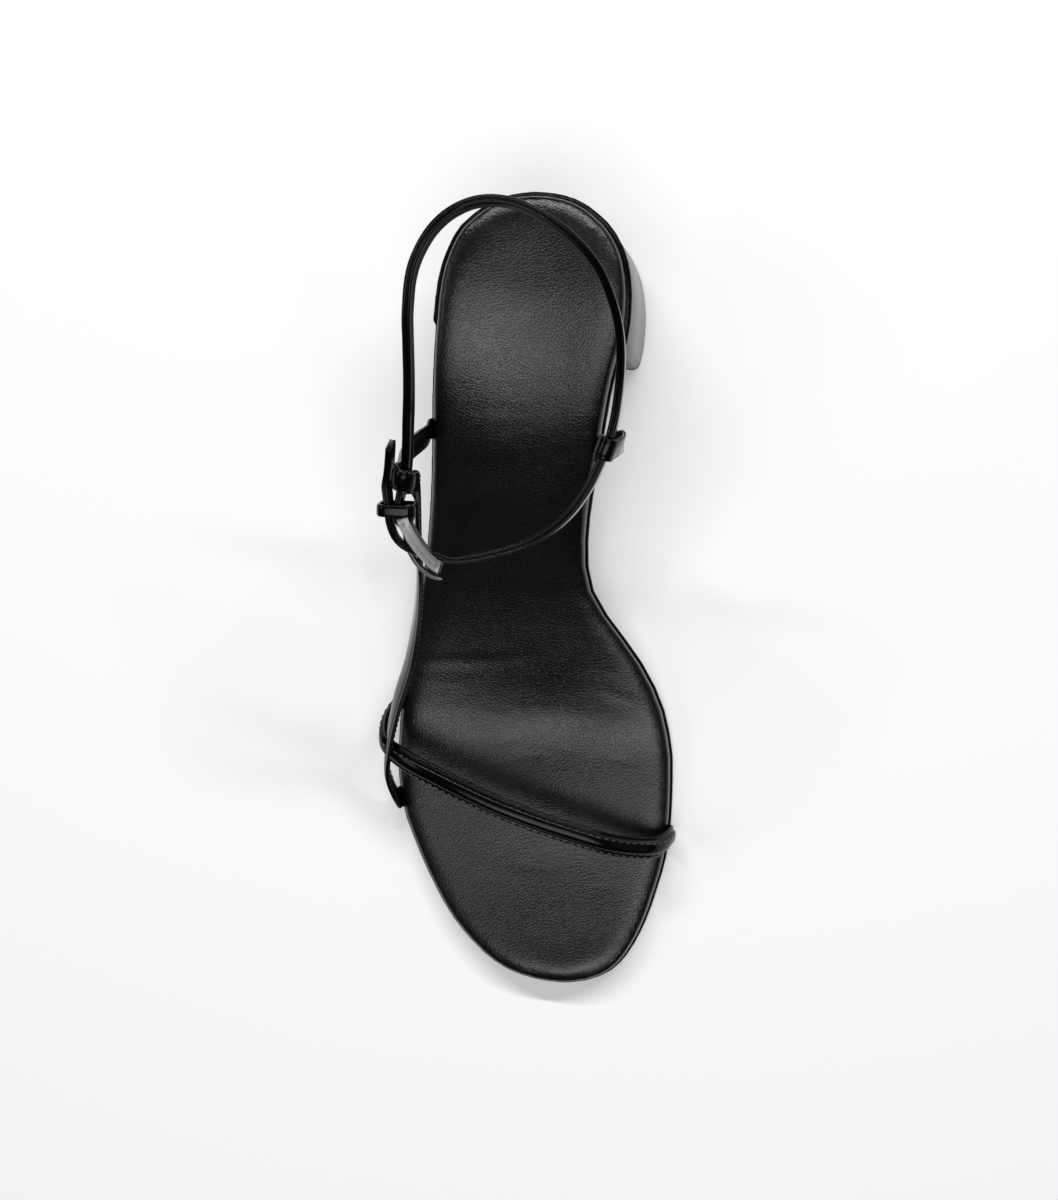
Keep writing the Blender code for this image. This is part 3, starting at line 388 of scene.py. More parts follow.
# %% Ankle strap sizes
ANKLE_THICKNESS = 0.0023
ANKLE_STEP = 0.0006
ANKLE_STRAP_LENGTH_PAST_BAR = 0.0205
TAIL_THICKNESS = 0.0018
FOLD_THICKNESS = 0.0012
FOLD_RETURN = 0.0040
BAR_RADIUS = 0.0009
BAR_SETBACK = 0.00085
FRAME_LENGTH = 0.0146
LATERAL_FOLD_BEHIND_BAR = 0.0122
LEG_POINTS = 46
FREE_END_IN_FRAME = (
    # way, out
    (0.00, 1.14),
    (0.17, 1.38),
    (0.36, 1.36),
    (0.58, 0.96),
    (0.80, 0.32),
    (0.95, 0.00),
)
FREE_END_TO_STRAP = (
    # way, out
    (0.72, 0.96),
    (0.56, 0.68),
    (0.36, 0.26),
    (0.16, 0.12),
)
STRAP_TO_BAR = (
    # way, out, full
    (0.734, 0.20, 0.79),
    (0.221, 0.70, 0.37),
    (0.096, 1.00, 0.00),
)
FOLDED_END = (
    # way, out
    (0.45, 0.97),
    (1.00, 0.80),
)

bar_offset = -BAR_SETBACK
fold_reach = BAR_RADIUS + GAP + FOLD_THICKNESS / 2
tail_offset = bar_offset + fold_reach + FOLD_THICKNESS / 2 + GAP + TAIL_THICKNESS / 2
lateral_clear = ANKLE_THICKNESS / 2 + GAP + LATERAL_STRAP_THICKNESS / 2
tail_clear = lateral_clear + LATERAL_STRAP_THICKNESS / 2 + EASY_GAP + TAIL_THICKNESS / 2
print("the free end passes", round(tail_clear * 1000, 2), "mm outside the ring, past the lateral strap")


# %% Ankle strap line
def ankle_strap_line():
    tail, fold = TAIL_THICKNESS / ANKLE_THICKNESS, FOLD_THICKNESS / ANKLE_THICKNESS
    fold_at, half = LATERAL_FOLD_BEHIND_BAR, STRAP_WIDTH / 2
    rows = []

    def add(distance, offset, share):
        rows.append(row(ring.at(distance, offset), ring.outward(distance), share))

    add(ANKLE_STRAP_LENGTH_PAST_BAR, tail_clear, tail)
    for distance in (fold_at + 2 * half, fold_at + half, fold_at):
        add(distance, tail_clear, tail)
    for way, out in FREE_END_TO_STRAP:
        add(fold_at * way, tail_offset + (tail_clear - tail_offset) * out, tail)
    for way, out in FREE_END_IN_FRAME:
        add(-FRAME_LENGTH * way, tail_offset * out, tail)
    add(-FRAME_LENGTH - half, 0, tail)
    for distance in np.linspace(-FRAME_LENGTH - 3 * half, fold_at + 2 * half - ring.length, LEG_POINTS):
        add(distance, 0, 1.0)
    add(fold_at + half, 0, 1.0)
    add(fold_at, 0, 1.0)
    for way, out, full in STRAP_TO_BAR:
        add(fold_at * way, (bar_offset + fold_reach) * out, fold + (1 - fold) * full)
    tangent, outward = ring.tangent(0), ring.outward(0)
    for degrees in range(0, 181, 30):
        angle = math.radians(degrees)
        swing = outward * math.cos(angle) - tangent * math.sin(angle)
        rows.append(row(ring.at(0, bar_offset) + swing * fold_reach, swing, fold))
    inner = bar_offset - fold_reach
    for way, out in FOLDED_END:
        distance = FOLD_RETURN * way
        rows.append(row(ring.at(distance, inner * out), -ring.outward(distance), fold))
    return curve_through(rows, fine=8)


ankle_line = evened(ankle_strap_line(), ANKLE_STEP)
print("ankle strap:", millimetres(ankle_line), "mm long")

# %% [markdown]
# ## The lateral strap and the medial loop
# Both hang on the ankle strap by a fold over its upper edge. The lateral strap is a long inverted V
# from the ball to the arch. The medial loop goes up from the edge and comes down beside itself. Each
# leg is a short table of shares between its root and its fold, which both come from the model.

# %% Lateral strap and loop sizes
LATERAL_BOW = 0.0045
LATERAL_ROOT_THICKNESS = 0.0015
LATERAL_LEAN = 0.0006
LATERAL_SLANT = 0.0010
FOLD_DROP = 0.0052
FRONT_LEG = (
    # way, climb, bow, face
    (0.088, 0.088, 0.80, -8),
    (0.195, 0.177, 0.86, -16),
    (0.332, 0.298, 0.50, -25),
    (0.459, 0.420, -0.12, -25),
    (0.586, 0.536, -0.42, -22),
    (0.739, 0.716, -0.55, -14),
    (0.838, 0.812, -0.32, -8),
    (0.919, 0.879, -0.14, -5),
    (0.976, 0.941, -0.04, -3),
)
REAR_LEG = (
    # way, climb, bow, face
    (0.220, 0.250, 0.13, 184),
    (0.440, 0.520, 0.20, 184),
    (0.740, 0.780, 0.14, 182),
)
LOOP_TURN = 124.0
LOOP_THICKNESS = 0.0012
LOOP_WIDTH = 0.006
LOOP_BULGE = 0.0040
LOOP_BULGE_TURN = 48.0
LOOP_OUTER_LEG = (
    # climb, bulge
    (0.18, 0.12),
    (0.38, 0.45),
    (0.60, 0.85),
    (0.80, 1.00),
    (1.00, 0.55),
)
LOOP_INNER_LEG = (0.80, 0.60, 0.40, 0.20, 0.05)
print("places on the lateral strap's legs:", len(FRONT_LEG), "in front and", len(REAR_LEG), "behind")


# %% Lateral strap line
def folded_over(distance, clear, above, inside_first, lean):
    """Rows of a fold over the ankle strap: one leg inside it and one outside."""
    rows = []
    for degrees in range(-90, 91, 15) if inside_first else range(90, -91, -15):
        angle = math.radians(degrees)
        walk = distance + lean * degrees / 90
        outward, up = ring.outward(walk), ring.up(walk)
        swing = outward * math.sin(angle) + up * math.cos(angle)
        level = ring.place(walk) + up * (STRAP_WIDTH / 2 + above - clear)
        rows.append(row(level + swing * clear, swing))
    return rows


def lateral_strap_line():
    thick = LATERAL_STRAP_THICKNESS
    start = root(0.758, -1, thick, LATERAL_ROOT_THICKNESS, facing_in=True)
    end = root(0.277, -1, thick, LATERAL_ROOT_THICKNESS)
    fold = folded_over(LATERAL_FOLD_BEHIND_BAR, lateral_clear, EASY_GAP + thick / 2, True, LATERAL_LEAN)
    slant = ring.tangent(LATERAL_FOLD_BEHIND_BAR) * LATERAL_SLANT

    def leg(foot, head, table):
        found = []
        for way, climb, bow, face in table:
            place = foot + (head - foot) * way
            place[2] = foot[2] + (head[2] - foot[2]) * climb
            place[0] -= LATERAL_BOW * bow
            found.append(row(place, facing(face)))
        return found

    head, tail = fold[0][:3] - UP * FOLD_DROP, fold[-1][:3] - UP * FOLD_DROP + slant
    rows = start + leg(start[-1][:3], head, FRONT_LEG) + [row(head, fold[0][3:6])] + fold
    rows += [row(tail, fold[-1][3:6])] + leg(end[-1][:3], tail, REAR_LEG)[::-1] + end[::-1]
    return curve_through(rows)


lateral_line = evened(lateral_strap_line(), STRAP_STEP)
print("lateral strap:", millimetres(lateral_line), "mm long")


# %% Medial loop line
def medial_loop_line():
    thick = LOOP_THICKNESS
    start = root(0.300, 1, thick, thick)
    above = EASY_GAP + thick / 2
    fold = folded_over(ring.distance_of_turn(LOOP_TURN), ANKLE_THICKNESS / 2 + above, above, False, 0.0)
    turn = math.radians(LOOP_BULGE_TURN)
    bulging = np.array((math.cos(turn), math.sin(turn), 0.0))
    foot, foot_face, top_face = start[-1][:3], start[-1][3:6], fold[0][3:6]
    head, inner_head = fold[0][:3] - UP * FOLD_DROP, fold[-1][:3] - UP * FOLD_DROP
    bulges = curve_through([(0.0, 0.0, 0.0), *((c, b, 0.0) for c, b in LOOP_OUTER_LEG)])

    def outer_leg(climb):
        bulge = np.interp(climb, bulges[:, 0], bulges[:, 1]) * LOOP_BULGE
        low, middle, high = (1 - climb) ** 2, 2 * climb * (1 - climb), climb**2
        face = unit(foot_face * low + bulging * middle + top_face * high)
        return foot + (head - foot) * climb + bulging * bulge, face

    rows = start + [row(*outer_leg(climb)) for climb, _ in LOOP_OUTER_LEG] + fold
    rows.append(row(inner_head, fold[-1][3:6]))
    beside = thick + EASY_GAP
    for climb in LOOP_INNER_LEG:
        place, face = outer_leg(climb)
        close = place - face * beside
        straight = foot - foot_face * beside + (inner_head - foot + foot_face * beside) * climb
        rows.append(row(close + (straight - close) * climb**1.5, -face))
    return curve_through(rows)


loop_line = evened(medial_loop_line(), ANKLE_STEP)
print("medial loop:", millimetres(loop_line), "mm long")

# %% [markdown]
# ## What a strap looks like when it is cut through
# A padded strap is two leathers sewn together over a cord: full in the middle, with a groove beside
# it and thin edges that carry the stitches. The ankle strap is flat, and the seam between its two
# leathers shows as a fine groove in its edge. Both are drawn as closed outlines and then swept.

# %% Cross-sections
PADDED = (
    # across, rim, crown, sink in mm
    (0.00, 1.00, 1.00, 0.00),
    (0.18, 1.00, 0.99, 0.00),
    (0.34, 1.00, 0.93, 0.00),
    (0.47, 1.00, 0.79, 0.00),
    (0.57, 1.00, 0.54, 0.00),
    (0.65, 1.00, 0.20, 0.00),
    (0.71, 1.00, 0.00, 0.03),
    (0.77, 1.00, 0.00, 0.00),
    (0.84, 0.98, 0.00, 0.00),
    (0.91, 0.86, 0.00, 0.00),
    (0.97, 0.64, 0.00, 0.00),
    (1.00, 0.30, 0.00, 0.00),
)
LAYERED = (
    # across, share of the half thickness
    (0.000, 1.00),
    (0.400, 1.00),
    (0.640, 0.99),
    (0.700, 0.86),
    (0.760, 0.98),
    (0.850, 0.98),
    (0.930, 0.90),
    (0.978, 0.74),
    (1.000, 0.52),
    (0.978, 0.28),
    (0.930, 0.09),
)
PADDED_SEAM = 0.0002
LAYER_SEAM = 0.0004
LOOP_SEAM = 0.00035


def padded_cut(width, thickness, edge, both_sides):
    """Outline of a padded strap. With one padded side, its lining side is flat."""
    half, rim = width / 2, edge / 2
    crown = thickness / 2 if both_sides else thickness - rim

    def side(sign, full):
        points = []
        for across, share, swell, sink in PADDED:
            out = rim * share + full * ((crown - rim) * swell - sink / 1000)
            points.append((half * across, sign * out))
        return points

    top, bottom = side(1, 1), side(-1, 1 if both_sides else 0)
    seam = [(half - PADDED_SEAM, 0.0)]
    right_half = top + seam + bottom[::-1]
    left_half = [(-across, out) for across, out in right_half[-2:0:-1]]
    return right_half + left_half


def layered_cut(width, thickness, seam_depth):
    """Outline of two flat leathers, one on the other."""
    half, out = width / 2, thickness / 2
    top = [(half * across, out * share) for across, share in LAYERED]
    seam = [(half - seam_depth, 0.0)]
    right_half = top + seam + [(a, -o) for a, o in top[::-1]]
    return right_half + [(-a, o) for a, o in right_half[-2:0:-1]]


print("a padded cut has", 4 * len(PADDED), "points, a layered one", 4 * len(LAYERED))

# %% [markdown]
# ## From a cut to a strap
# Sweeping a cut along a line by hand keeps the strap's face turned the way each row says, which a
# bevelled curve would not do. The first and last cut are a little smaller, so the ends look trimmed.

# %% Sweep a cut along a line
END_STANDS_OUT = 0.0002
END_SHRINK = 0.93


def new_piece(name, mesh):
    piece = bpy.data.objects.new(name, mesh)
    bpy.context.scene.collection.objects.link(piece)
    return piece


def strip(name, line, cut, closed=False):
    """Sweeps a cut along a strap's line. Open ends are closed by a face."""
    if not closed:
        first, last = line[0].copy(), line[-1].copy()
        first[:3] += unit(line[0, :3] - line[1, :3]) * END_STANDS_OUT
        last[:3] += unit(line[-1, :3] - line[-2, :3]) * END_STANDS_OUT
        line = np.vstack((first, line, last))
    count = len(line)
    body = bmesh.new()
    rings = []
    for i in range(count):
        after = (i + 1) % count if closed else min(i + 1, count - 1)
        tangent = unit(line[after, :3] - line[i - 1 if closed or i else 0, :3])
        outward = unit(line[i, 3:6] - (line[i, 3:6] @ tangent) * tangent)
        side = np.cross(outward, tangent)
        shrink = END_SHRINK if not closed and i in (0, count - 1) else 1.0
        points = [line[i, :3] + (side * a + outward * o * line[i, 6]) * shrink for a, o in cut]
        rings.append([body.verts.new(tuple(p)) for p in points])
    pairs = list(zip(rings[:-1], rings[1:])) + ([(rings[-1], rings[0])] if closed else [])
    for low, high in pairs:
        for k in range(len(cut)):
            j = (k + 1) % len(cut)
            body.faces.new((low[k], low[j], high[j], high[k]))
    if not closed:
        body.faces.new(rings[0][::-1])
        body.faces.new(rings[-1])
    bmesh.ops.recalc_face_normals(body, faces=body.faces)
    mesh = bpy.data.meshes.new(name)
    body.to_mesh(mesh)
    body.free()
    mesh.shade_smooth()
    print(name, "has", len(mesh.polygons), "faces")
    return new_piece(name, mesh)


# %% [markdown]
# ## Cutting the straps
# Each strap is now one call: its line, its cut, and the solid piece that it stands for.

# %% Make the leather straps
def dress(piece, slot, *stands_for):
    """Hangs a piece on the root body and hides the solids it stands for. The slot is not used."""
    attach(piece, "root")
    if stands_for:
        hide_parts(*stands_for)
    return piece


toe_cut = padded_cut(STRAP_WIDTH, TOE_STRAP_THICKNESS, STRAP_EDGE, False)
lateral_cut = padded_cut(STRAP_WIDTH, LATERAL_STRAP_THICKNESS, STRAP_EDGE, True)
toe_strap = dress(strip("toe_strap", toe_line, toe_cut), "black_leather", "upper")
lateral_strap = dress(strip("lateral_strap", lateral_line, lateral_cut), "black_leather", "upper")
ankle_cut = layered_cut(STRAP_WIDTH, ANKLE_THICKNESS, LAYER_SEAM)
loop_cut = layered_cut(LOOP_WIDTH, LOOP_THICKNESS, LOOP_SEAM)
ankle_strap = dress(strip("ankle_strap_leather", ankle_line, ankle_cut), "black_leather", "ankle_strap")
loop = dress(strip("loop_leather", loop_line, loop_cut), "black_leather", "medial_loop")

# %% [markdown]
# ## The keeper
# A narrow leather ring sits right behind the buckle and holds the free end down. Its way round the
# three layers is a rectangle with round corners. Its leather is turned under and swells a little, so
# its cut is a flat oval.

# %% Keeper
KEEPER_WIDTH = 0.0033
KEEPER_THICKNESS = 0.0011
KEEPER_CORNER = 0.0021
KEEPER_ROOM = 0.50
KEEPER_FULLNESS = 0.55


def oval_cut(width, thickness, fullness, count=20):
    """A flat oval. The smaller the fullness, the squarer it is."""
    points = []
    for k in range(count):
        turn = 2 * math.pi * (k + 0.5) / count
        across, out = (math.copysign(abs(v) ** fullness, v) for v in (math.cos(turn), math.sin(turn)))
        points.append((width / 2 * across, thickness / 2 * out))
    return points[::-1]


def keeper_line():
    distance = BAR_RADIUS + EASY_GAP + KEEPER_WIDTH / 2
    inside = bar_offset - fold_reach - FOLD_THICKNESS / 2 - GAP - KEEPER_THICKNESS / 2
    tail = tail_offset + (tail_clear - tail_offset) * KEEPER_ROOM
    outside = tail + TAIL_THICKNESS / 2 + GAP + KEEPER_THICKNESS / 2
    high = STRAP_WIDTH / 2 + EASY_GAP + KEEPER_THICKNESS / 2
    middle, reach = (inside + outside) / 2, (outside - inside) / 2 - KEEPER_CORNER
    outward, upward, centre = ring.outward(distance), ring.up(distance), ring.place(distance)
    rows = []
    for across, over, first in ((1, 1, 0), (-1, 1, 90), (-1, -1, 180), (1, -1, 270)):
        corner = centre + outward * (middle + across * reach) + upward * over * (high - KEEPER_CORNER)
        for degrees in range(0, 91, 15):
            angle = math.radians(first + degrees)
            swing = outward * math.cos(angle) + upward * math.sin(angle)
            rows.append(row(corner + swing * KEEPER_CORNER, swing))
    return curve_through(rows, closed=True, fine=3)


keeper_cut = oval_cut(KEEPER_WIDTH, KEEPER_THICKNESS, KEEPER_FULLNESS)
keeper = dress(strip("keeper_leather", keeper_line(), keeper_cut, closed=True), "black_leather", "keeper")

# %% [markdown]
# ## Stitches
# A row of short stitches runs by each edge of a strap; the toe strap's rear row lies on the shoulder of
# its padding. One stitch is modelled from a cylinder, with its ends drawn in where the thread dives
# into the leather, and then laid along the strap's line at the height of its face. An array modifier
# would stretch the stitches in the bends, so each copy gets its own place and turn.

# %% One stitch
STITCH_LENGTH = 0.0017
STITCH_PITCH = 0.0023
THREAD_RADIUS = 0.00018
END_WIDTH = 0.55
END_HEIGHT = 0.50
END_DIVE = 0.90


def slice_open(place, across):
    """Cuts new edges where a plane passes through the mesh in edit mode. Nothing is taken away."""
    bpy.ops.mesh.select_all(action="SELECT")
    bpy.ops.mesh.bisect(plane_co=place, plane_no=across)


def model_stitch():
    """A short six-sided thread that lies along X, with ends that are thinner and dive down."""
    bpy.ops.object.select_all(action="DESELECT")
    bpy.ops.mesh.primitive_cylinder_add(
        vertices=6, radius=THREAD_RADIUS, depth=STITCH_LENGTH, rotation=(0, math.pi / 2, 0)
    )
    stitch = bpy.context.object
    bpy.ops.object.transform_apply(rotation=True)
    bpy.ops.object.mode_set(mode="EDIT")
    for share in (-0.3, 0.3):
        slice_open((STITCH_LENGTH * share, 0, 0), (1, 0, 0))
    bpy.ops.object.mode_set(mode="OBJECT")
    for vertex in stitch.data.vertices:
        if abs(vertex.co.x) > 0.45 * STITCH_LENGTH:
            vertex.co.y *= END_WIDTH
            vertex.co.z = vertex.co.z * END_HEIGHT - THREAD_RADIUS * END_DIVE
    return stitch


one_stitch = model_stitch()
stitch_points = np.array([v.co for v in one_stitch.data.vertices])
stitch_faces = [tuple(p.vertices) for p in one_stitch.data.polygons]
bpy.data.objects.remove(one_stitch)
print("one stitch has", len(stitch_faces), "faces")

# %% Lay the stitches
LOOK_AHEAD = 0.0004


def face_height(cut, across):
    """Height of a cut's outer face at a place across it."""
    upper = sorted((a, o) for a, o in cut if o > 0)
    return float(np.interp(across, [a for a, _ in upper], [o for _, o in upper]))


def stitch_rows(name, line, cut, shares, start, stop):
    """Rows of stitches, each at a share of the strap's half width, between two shares of its length."""
    seats = [(STRAP_WIDTH / 2 * share, face_height(cut, STRAP_WIDTH / 2 * share)) for share in shares]
    marks = marks_along(line)
    points, faces = [], []
    for mark in np.arange(start * marks[-1], stop * marks[-1], STITCH_PITCH):
        at = np.array([np.interp(mark, marks, column) for column in line.T])
        ahead = np.array([np.interp(mark + LOOK_AHEAD, marks, column) for column in line.T[:3]])
        tangent = unit(ahead - at[:3])
        outward = unit(at[3:6] - (at[3:6] @ tangent) * tangent)
        axes = np.array((tangent, np.cross(outward, tangent), outward))
        for across, out in seats:
            first = len(points) * len(stitch_points)
            points.append(at[:3] + np.array((0, across, out * at[6])) @ axes + stitch_points @ axes)
            faces += [tuple(first + i for i in face) for face in stitch_faces]
    mesh = bpy.data.meshes.new(name)
    mesh.from_pydata(np.vstack(points).tolist(), [], faces)
    mesh.shade_smooth()
    body = bmesh.new()
    body.from_mesh(mesh)
    bmesh.ops.recalc_face_normals(body, faces=body.faces)
    body.to_mesh(mesh)
    body.free()
    print(name, "has", len(points), "stitches")
    return dress(new_piece(name, mesh), "black_leather")


stitches = [
    stitch_rows("toe_strap_stitches", toe_line, toe_cut, (-0.40, 0.86), 0.11, 0.90),
    stitch_rows("lateral_strap_stitches", lateral_line, lateral_cut, (-0.85, 0.85), 0.09, 0.94),
    stitch_rows("ankle_strap_stitches", ankle_line, ankle_cut, (-0.70, 0.70), 0.01, 0.93),
]

# %% [markdown]
# ## The buckle
# The frame is filed from one piece of metal: two flat rails, a round bar in the strap's fold and a
# front bar that bows outwards. It is modelled flat from a cube: both faces are inset, the middle is
# taken out and the two openings are bridged. Then it is bent along the ring like the strap. Slices
# across the flat frame give the bend enough corners to follow.

# %% Buckle frame, still flat
FRAME_WIDTH = 0.0031
FRAME_RAIL = 0.0017
FRONT_BAR = 0.0019
FRAME_PLAY = 0.00035
LENGTH_SLICES = 17
BAR_SLICES = (-0.93, -0.55, 0.0, 0.55, 0.93)

frame_inner = STRAP_WIDTH / 2 + FRAME_PLAY
frame_long, frame_wide = FRAME_LENGTH + FRONT_BAR, 2 * (frame_inner + FRAME_RAIL)


def choose_faces(piece, wanted):
    """Selects the faces for which wanted(centre, normal) is true, and nothing else."""
    bpy.ops.object.mode_set(mode="EDIT")
    bpy.ops.mesh.select_all(action="DESELECT")
    bpy.ops.object.mode_set(mode="OBJECT")
    for face in piece.data.polygons:
        face.select = bool(wanted(face.center, face.normal))
    bpy.ops.object.mode_set(mode="EDIT")
    bpy.ops.mesh.select_mode(type="FACE")


def flat_frame():
    """The frame before its bend: length along X, thickness along Y, width along Z."""
    bpy.ops.object.select_all(action="DESELECT")
    bpy.ops.mesh.primitive_cube_add(size=1, scale=(frame_long, FRAME_WIDTH, frame_wide))
    piece = bpy.context.object
    piece.name = "buckle_frame_metal"
    bpy.ops.object.transform_apply(scale=True)
    choose_faces(piece, lambda centre, normal: abs(normal.y) > 0.9)
    bpy.ops.mesh.inset(thickness=FRONT_BAR, use_individual=True)
    bpy.ops.mesh.delete(type="FACE")
    bpy.ops.object.mode_set(mode="OBJECT")
    body = bmesh.new()
    body.from_mesh(piece.data)
    bmesh.ops.bridge_loops(body, edges=[edge for edge in body.edges if edge.is_boundary])
    body.to_mesh(piece.data)
    body.free()
    for vertex in piece.data.vertices:
        if abs(vertex.co.z) < frame_wide / 2 - FRONT_BAR * 0.9:
            vertex.co.z = math.copysign(frame_inner, vertex.co.z)
    bpy.ops.object.mode_set(mode="EDIT")
    for share in np.linspace(-0.5, 0.5, LENGTH_SLICES + 2)[1:-1]:
        slice_open((frame_long * share, 0, 0), (1, 0, 0))
    for share in BAR_SLICES:
        slice_open((0, 0, frame_inner * share), (0, 0, 1))
    bpy.ops.object.mode_set(mode="OBJECT")
    return piece


buckle_frame = flat_frame()
print("flat buckle frame:", round(frame_long * 1000, 1), "x", round(frame_wide * 1000, 1), "mm")

# %% Bend the frame and round its edges
FRAME_BOW = 0.0012
FRAME_ROUNDING = 0.00022
FRONT_SHARE = 0.85
BAR_REACH = 0.95


def round_edges(piece, width, sharper_than):
    bevel = piece.modifiers.new("rounded_edges", "BEVEL")
    bevel.width = width
    bevel.segments = 3
    bevel.limit_method = "ANGLE"
    bevel.angle_limit = math.radians(sharper_than)
    bpy.ops.object.modifier_apply(modifier="rounded_edges")


def bend_frame(piece):
    """Thins the two bars, bows the front one outwards and lays the frame along the ring."""
    front = TAIL_THICKNESS / 2 + EASY_GAP + FRONT_BAR / 2
    bar_starts = FRAME_LENGTH / 2 - FRONT_BAR / 2 - 1e-5
    for vertex in piece.data.vertices:
        along, out, height = vertex.co
        share = (along + frame_long / 2 - FRONT_BAR / 2) / FRAME_LENGTH
        between_rails = abs(height) < frame_inner * BAR_REACH
        if between_rails and abs(along) > bar_starts:
            out *= FRONT_BAR / FRAME_WIDTH
        if between_rails and share > FRONT_SHARE:
            out += FRAME_BOW * (1 - (height / frame_inner) ** 2)
        offset = bar_offset + (front - bar_offset) * share + out
        vertex.co = Vector(ring.at(-FRAME_LENGTH * share, offset, height))


bend_frame(buckle_frame)
round_edges(buckle_frame, FRAME_ROUNDING, 35)
bpy.ops.object.mode_set(mode="EDIT")
bpy.ops.mesh.select_all(action="SELECT")
bpy.ops.mesh.normals_make_consistent(inside=False)
bpy.ops.object.mode_set(mode="OBJECT")
bpy.ops.object.shade_smooth_by_angle(angle=math.radians(38))
dress(buckle_frame, "gunmetal", "buckle_frame")
print("buckle frame has", len(buckle_frame.data.polygons), "faces")

# %% [markdown]
# ## The prong
# A wire with an eye round the rear bar. It comes up through the strap's hole and rests on the front
# bar with its tip. It is swept like the straps, with a round cut, as it gets thinner along its way.

# %% Prong
PRONG_RADIUS = 0.0008
PRONG_EYE_THICKNESS = 0.0012
PRONG_LIFT = 70.0
PRONG_ROOT = 0.9
PRONG = (
    # way, out, thickness
    (0.30, 0.42, 1.00),
    (0.55, 0.74, 1.00),
    (0.80, 0.94, 0.95),
    (1.00, 1.00, 0.85),
    (1.08, 1.00, 0.72),
    (1.12, 0.99, 0.45),
)


def circle_cut(radius, count=14):
    turns = [2 * math.pi * k / count for k in range(count)]
    return [(radius * math.sin(turn), radius * math.cos(turn)) for turn in turns]


def prong_lines():
    bar, tangent, outward = ring.at(0, bar_offset), ring.tangent(0), ring.outward(0)
    eye = BAR_RADIUS + GAP + PRONG_EYE_THICKNESS / 2
    around = []
    for degrees in range(0, 360, 20):
        angle = math.radians(degrees)
        swing = outward * math.cos(angle) - tangent * math.sin(angle)
        around.append(row(bar + swing * eye, swing, PRONG_EYE_THICKNESS / 2 / PRONG_RADIUS))
    front = TAIL_THICKNESS / 2 + EASY_GAP + FRONT_BAR + FRAME_BOW + GAP + PRONG_RADIUS
    lift = math.radians(PRONG_LIFT)
    pin = [row(bar + (outward * math.cos(lift) - tangent * math.sin(lift)) * eye, outward, PRONG_ROOT)]
    for way, out, thickness in PRONG:
        offset = bar_offset + (front - bar_offset) * out
        distance = -FRAME_LENGTH * way
        pin.append(row(ring.at(distance, offset), ring.outward(distance), thickness))
    return np.array(around), curve_through(pin, fine=8)


eye_line, pin_line = prong_lines()
prong = dress(strip("prong_pin", pin_line, circle_cut(PRONG_RADIUS)), "gunmetal", "buckle_prong")
prong_eye = dress(strip("prong_eye", eye_line, circle_cut(PRONG_RADIUS), closed=True), "gunmetal")

# %% [markdown]
# ## The footbed
# The insole is a board under thin padding and leather. Pressing it into shape leaves a shallow cup
# under the heel, a hump at the arch, broad hollows under the ball and a few soft creases where the
# leather bends. Simulated cloth would puff up too much for so thin a padding. So a copy of the solid
# is remeshed finely, levelled, and then pressed by the listed hollows and creases.

# %% Hollows and creases
HOLLOWS = (
    # along, across, length, width, depth in mm
    (0.150, 3.0, 27.0, 19.0, 0.22),
    (0.655, 0.0, 15.0, 24.0, 1.10),
    (0.630, 27.0, 8.0, 10.0, -0.45),
    (0.640, -10.0, 7.0, 14.0, -0.12),
    (0.870, 8.0, 13.0, 20.0, 0.10),
    (0.420, -6.0, 30.0, 14.0, -0.30),
)
CREASES = (
    # from along, across, to along, across, width, depth in mm
    (0.577, -36.0, 0.574, -9.0, 2.0, 0.170),
    (0.574, -9.0, 0.566, 4.0, 1.8, 0.070),
    (0.600, -34.0, 0.607, -18.0, 1.4, 0.040),
    (0.612, 20.0, 0.634, 36.0, 2.2, 0.100),
    (0.655, -3.0, 0.664, 8.0, 1.2, 0.045),
    (0.668, 10.0, 0.676, 24.0, 1.3, 0.050),
    (0.684, -14.0, 0.678, 0.0, 1.2, 0.040),
    (0.690, 4.0, 0.697, 16.0, 1.2, 0.040),
    (0.705, -6.0, 0.701, 7.0, 1.2, 0.035),
    (0.645, -16.0, 0.650, -6.0, 1.1, 0.030),
    (0.700, 22.0, 0.712, 32.0, 1.3, 0.040),
    (0.845, -10.0, 0.852, 8.0, 1.6, 0.030),
    (0.880, 14.0, 0.872, 30.0, 1.6, 0.030),
    (0.255, -14.0, 0.262, 6.0, 1.6, 0.035),
    (0.300, -6.0, 0.294, 12.0, 1.6, 0.030),
)
EDGE_DIP = (
    # inward, width, depth in mm
    (5.5, 2.6, 0.16),
)
print(len(HOLLOWS), "hollows and", len(CREASES), "creases")

# %% A soft copy of a solid
FINE_VOXEL = 0.0007
LEVEL_PART = 0.75


def welded_copy(name, node):
    """A solid's mesh is loose triangles, so its copy is merged before anything is done to it."""
    bpy.ops.object.select_all(action="DESELECT")
    piece = new_piece(name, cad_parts[node].data.copy())
    bpy.context.view_layer.objects.active = piece
    piece.select_set(True)
    bpy.ops.object.mode_set(mode="EDIT")
    bpy.ops.mesh.select_all(action="SELECT")
    bpy.ops.mesh.remove_doubles(threshold=1e-6)
    bpy.ops.object.mode_set(mode="OBJECT")
    piece.data.materials.clear()
    return piece


def smooth_out(piece, rounds, group=""):
    smooth = piece.modifiers.new("smooth_out", "SMOOTH")
    smooth.factor = 0.5
    smooth.iterations = rounds
    smooth.vertex_group = group
    bpy.ops.object.modifier_apply(modifier="smooth_out")


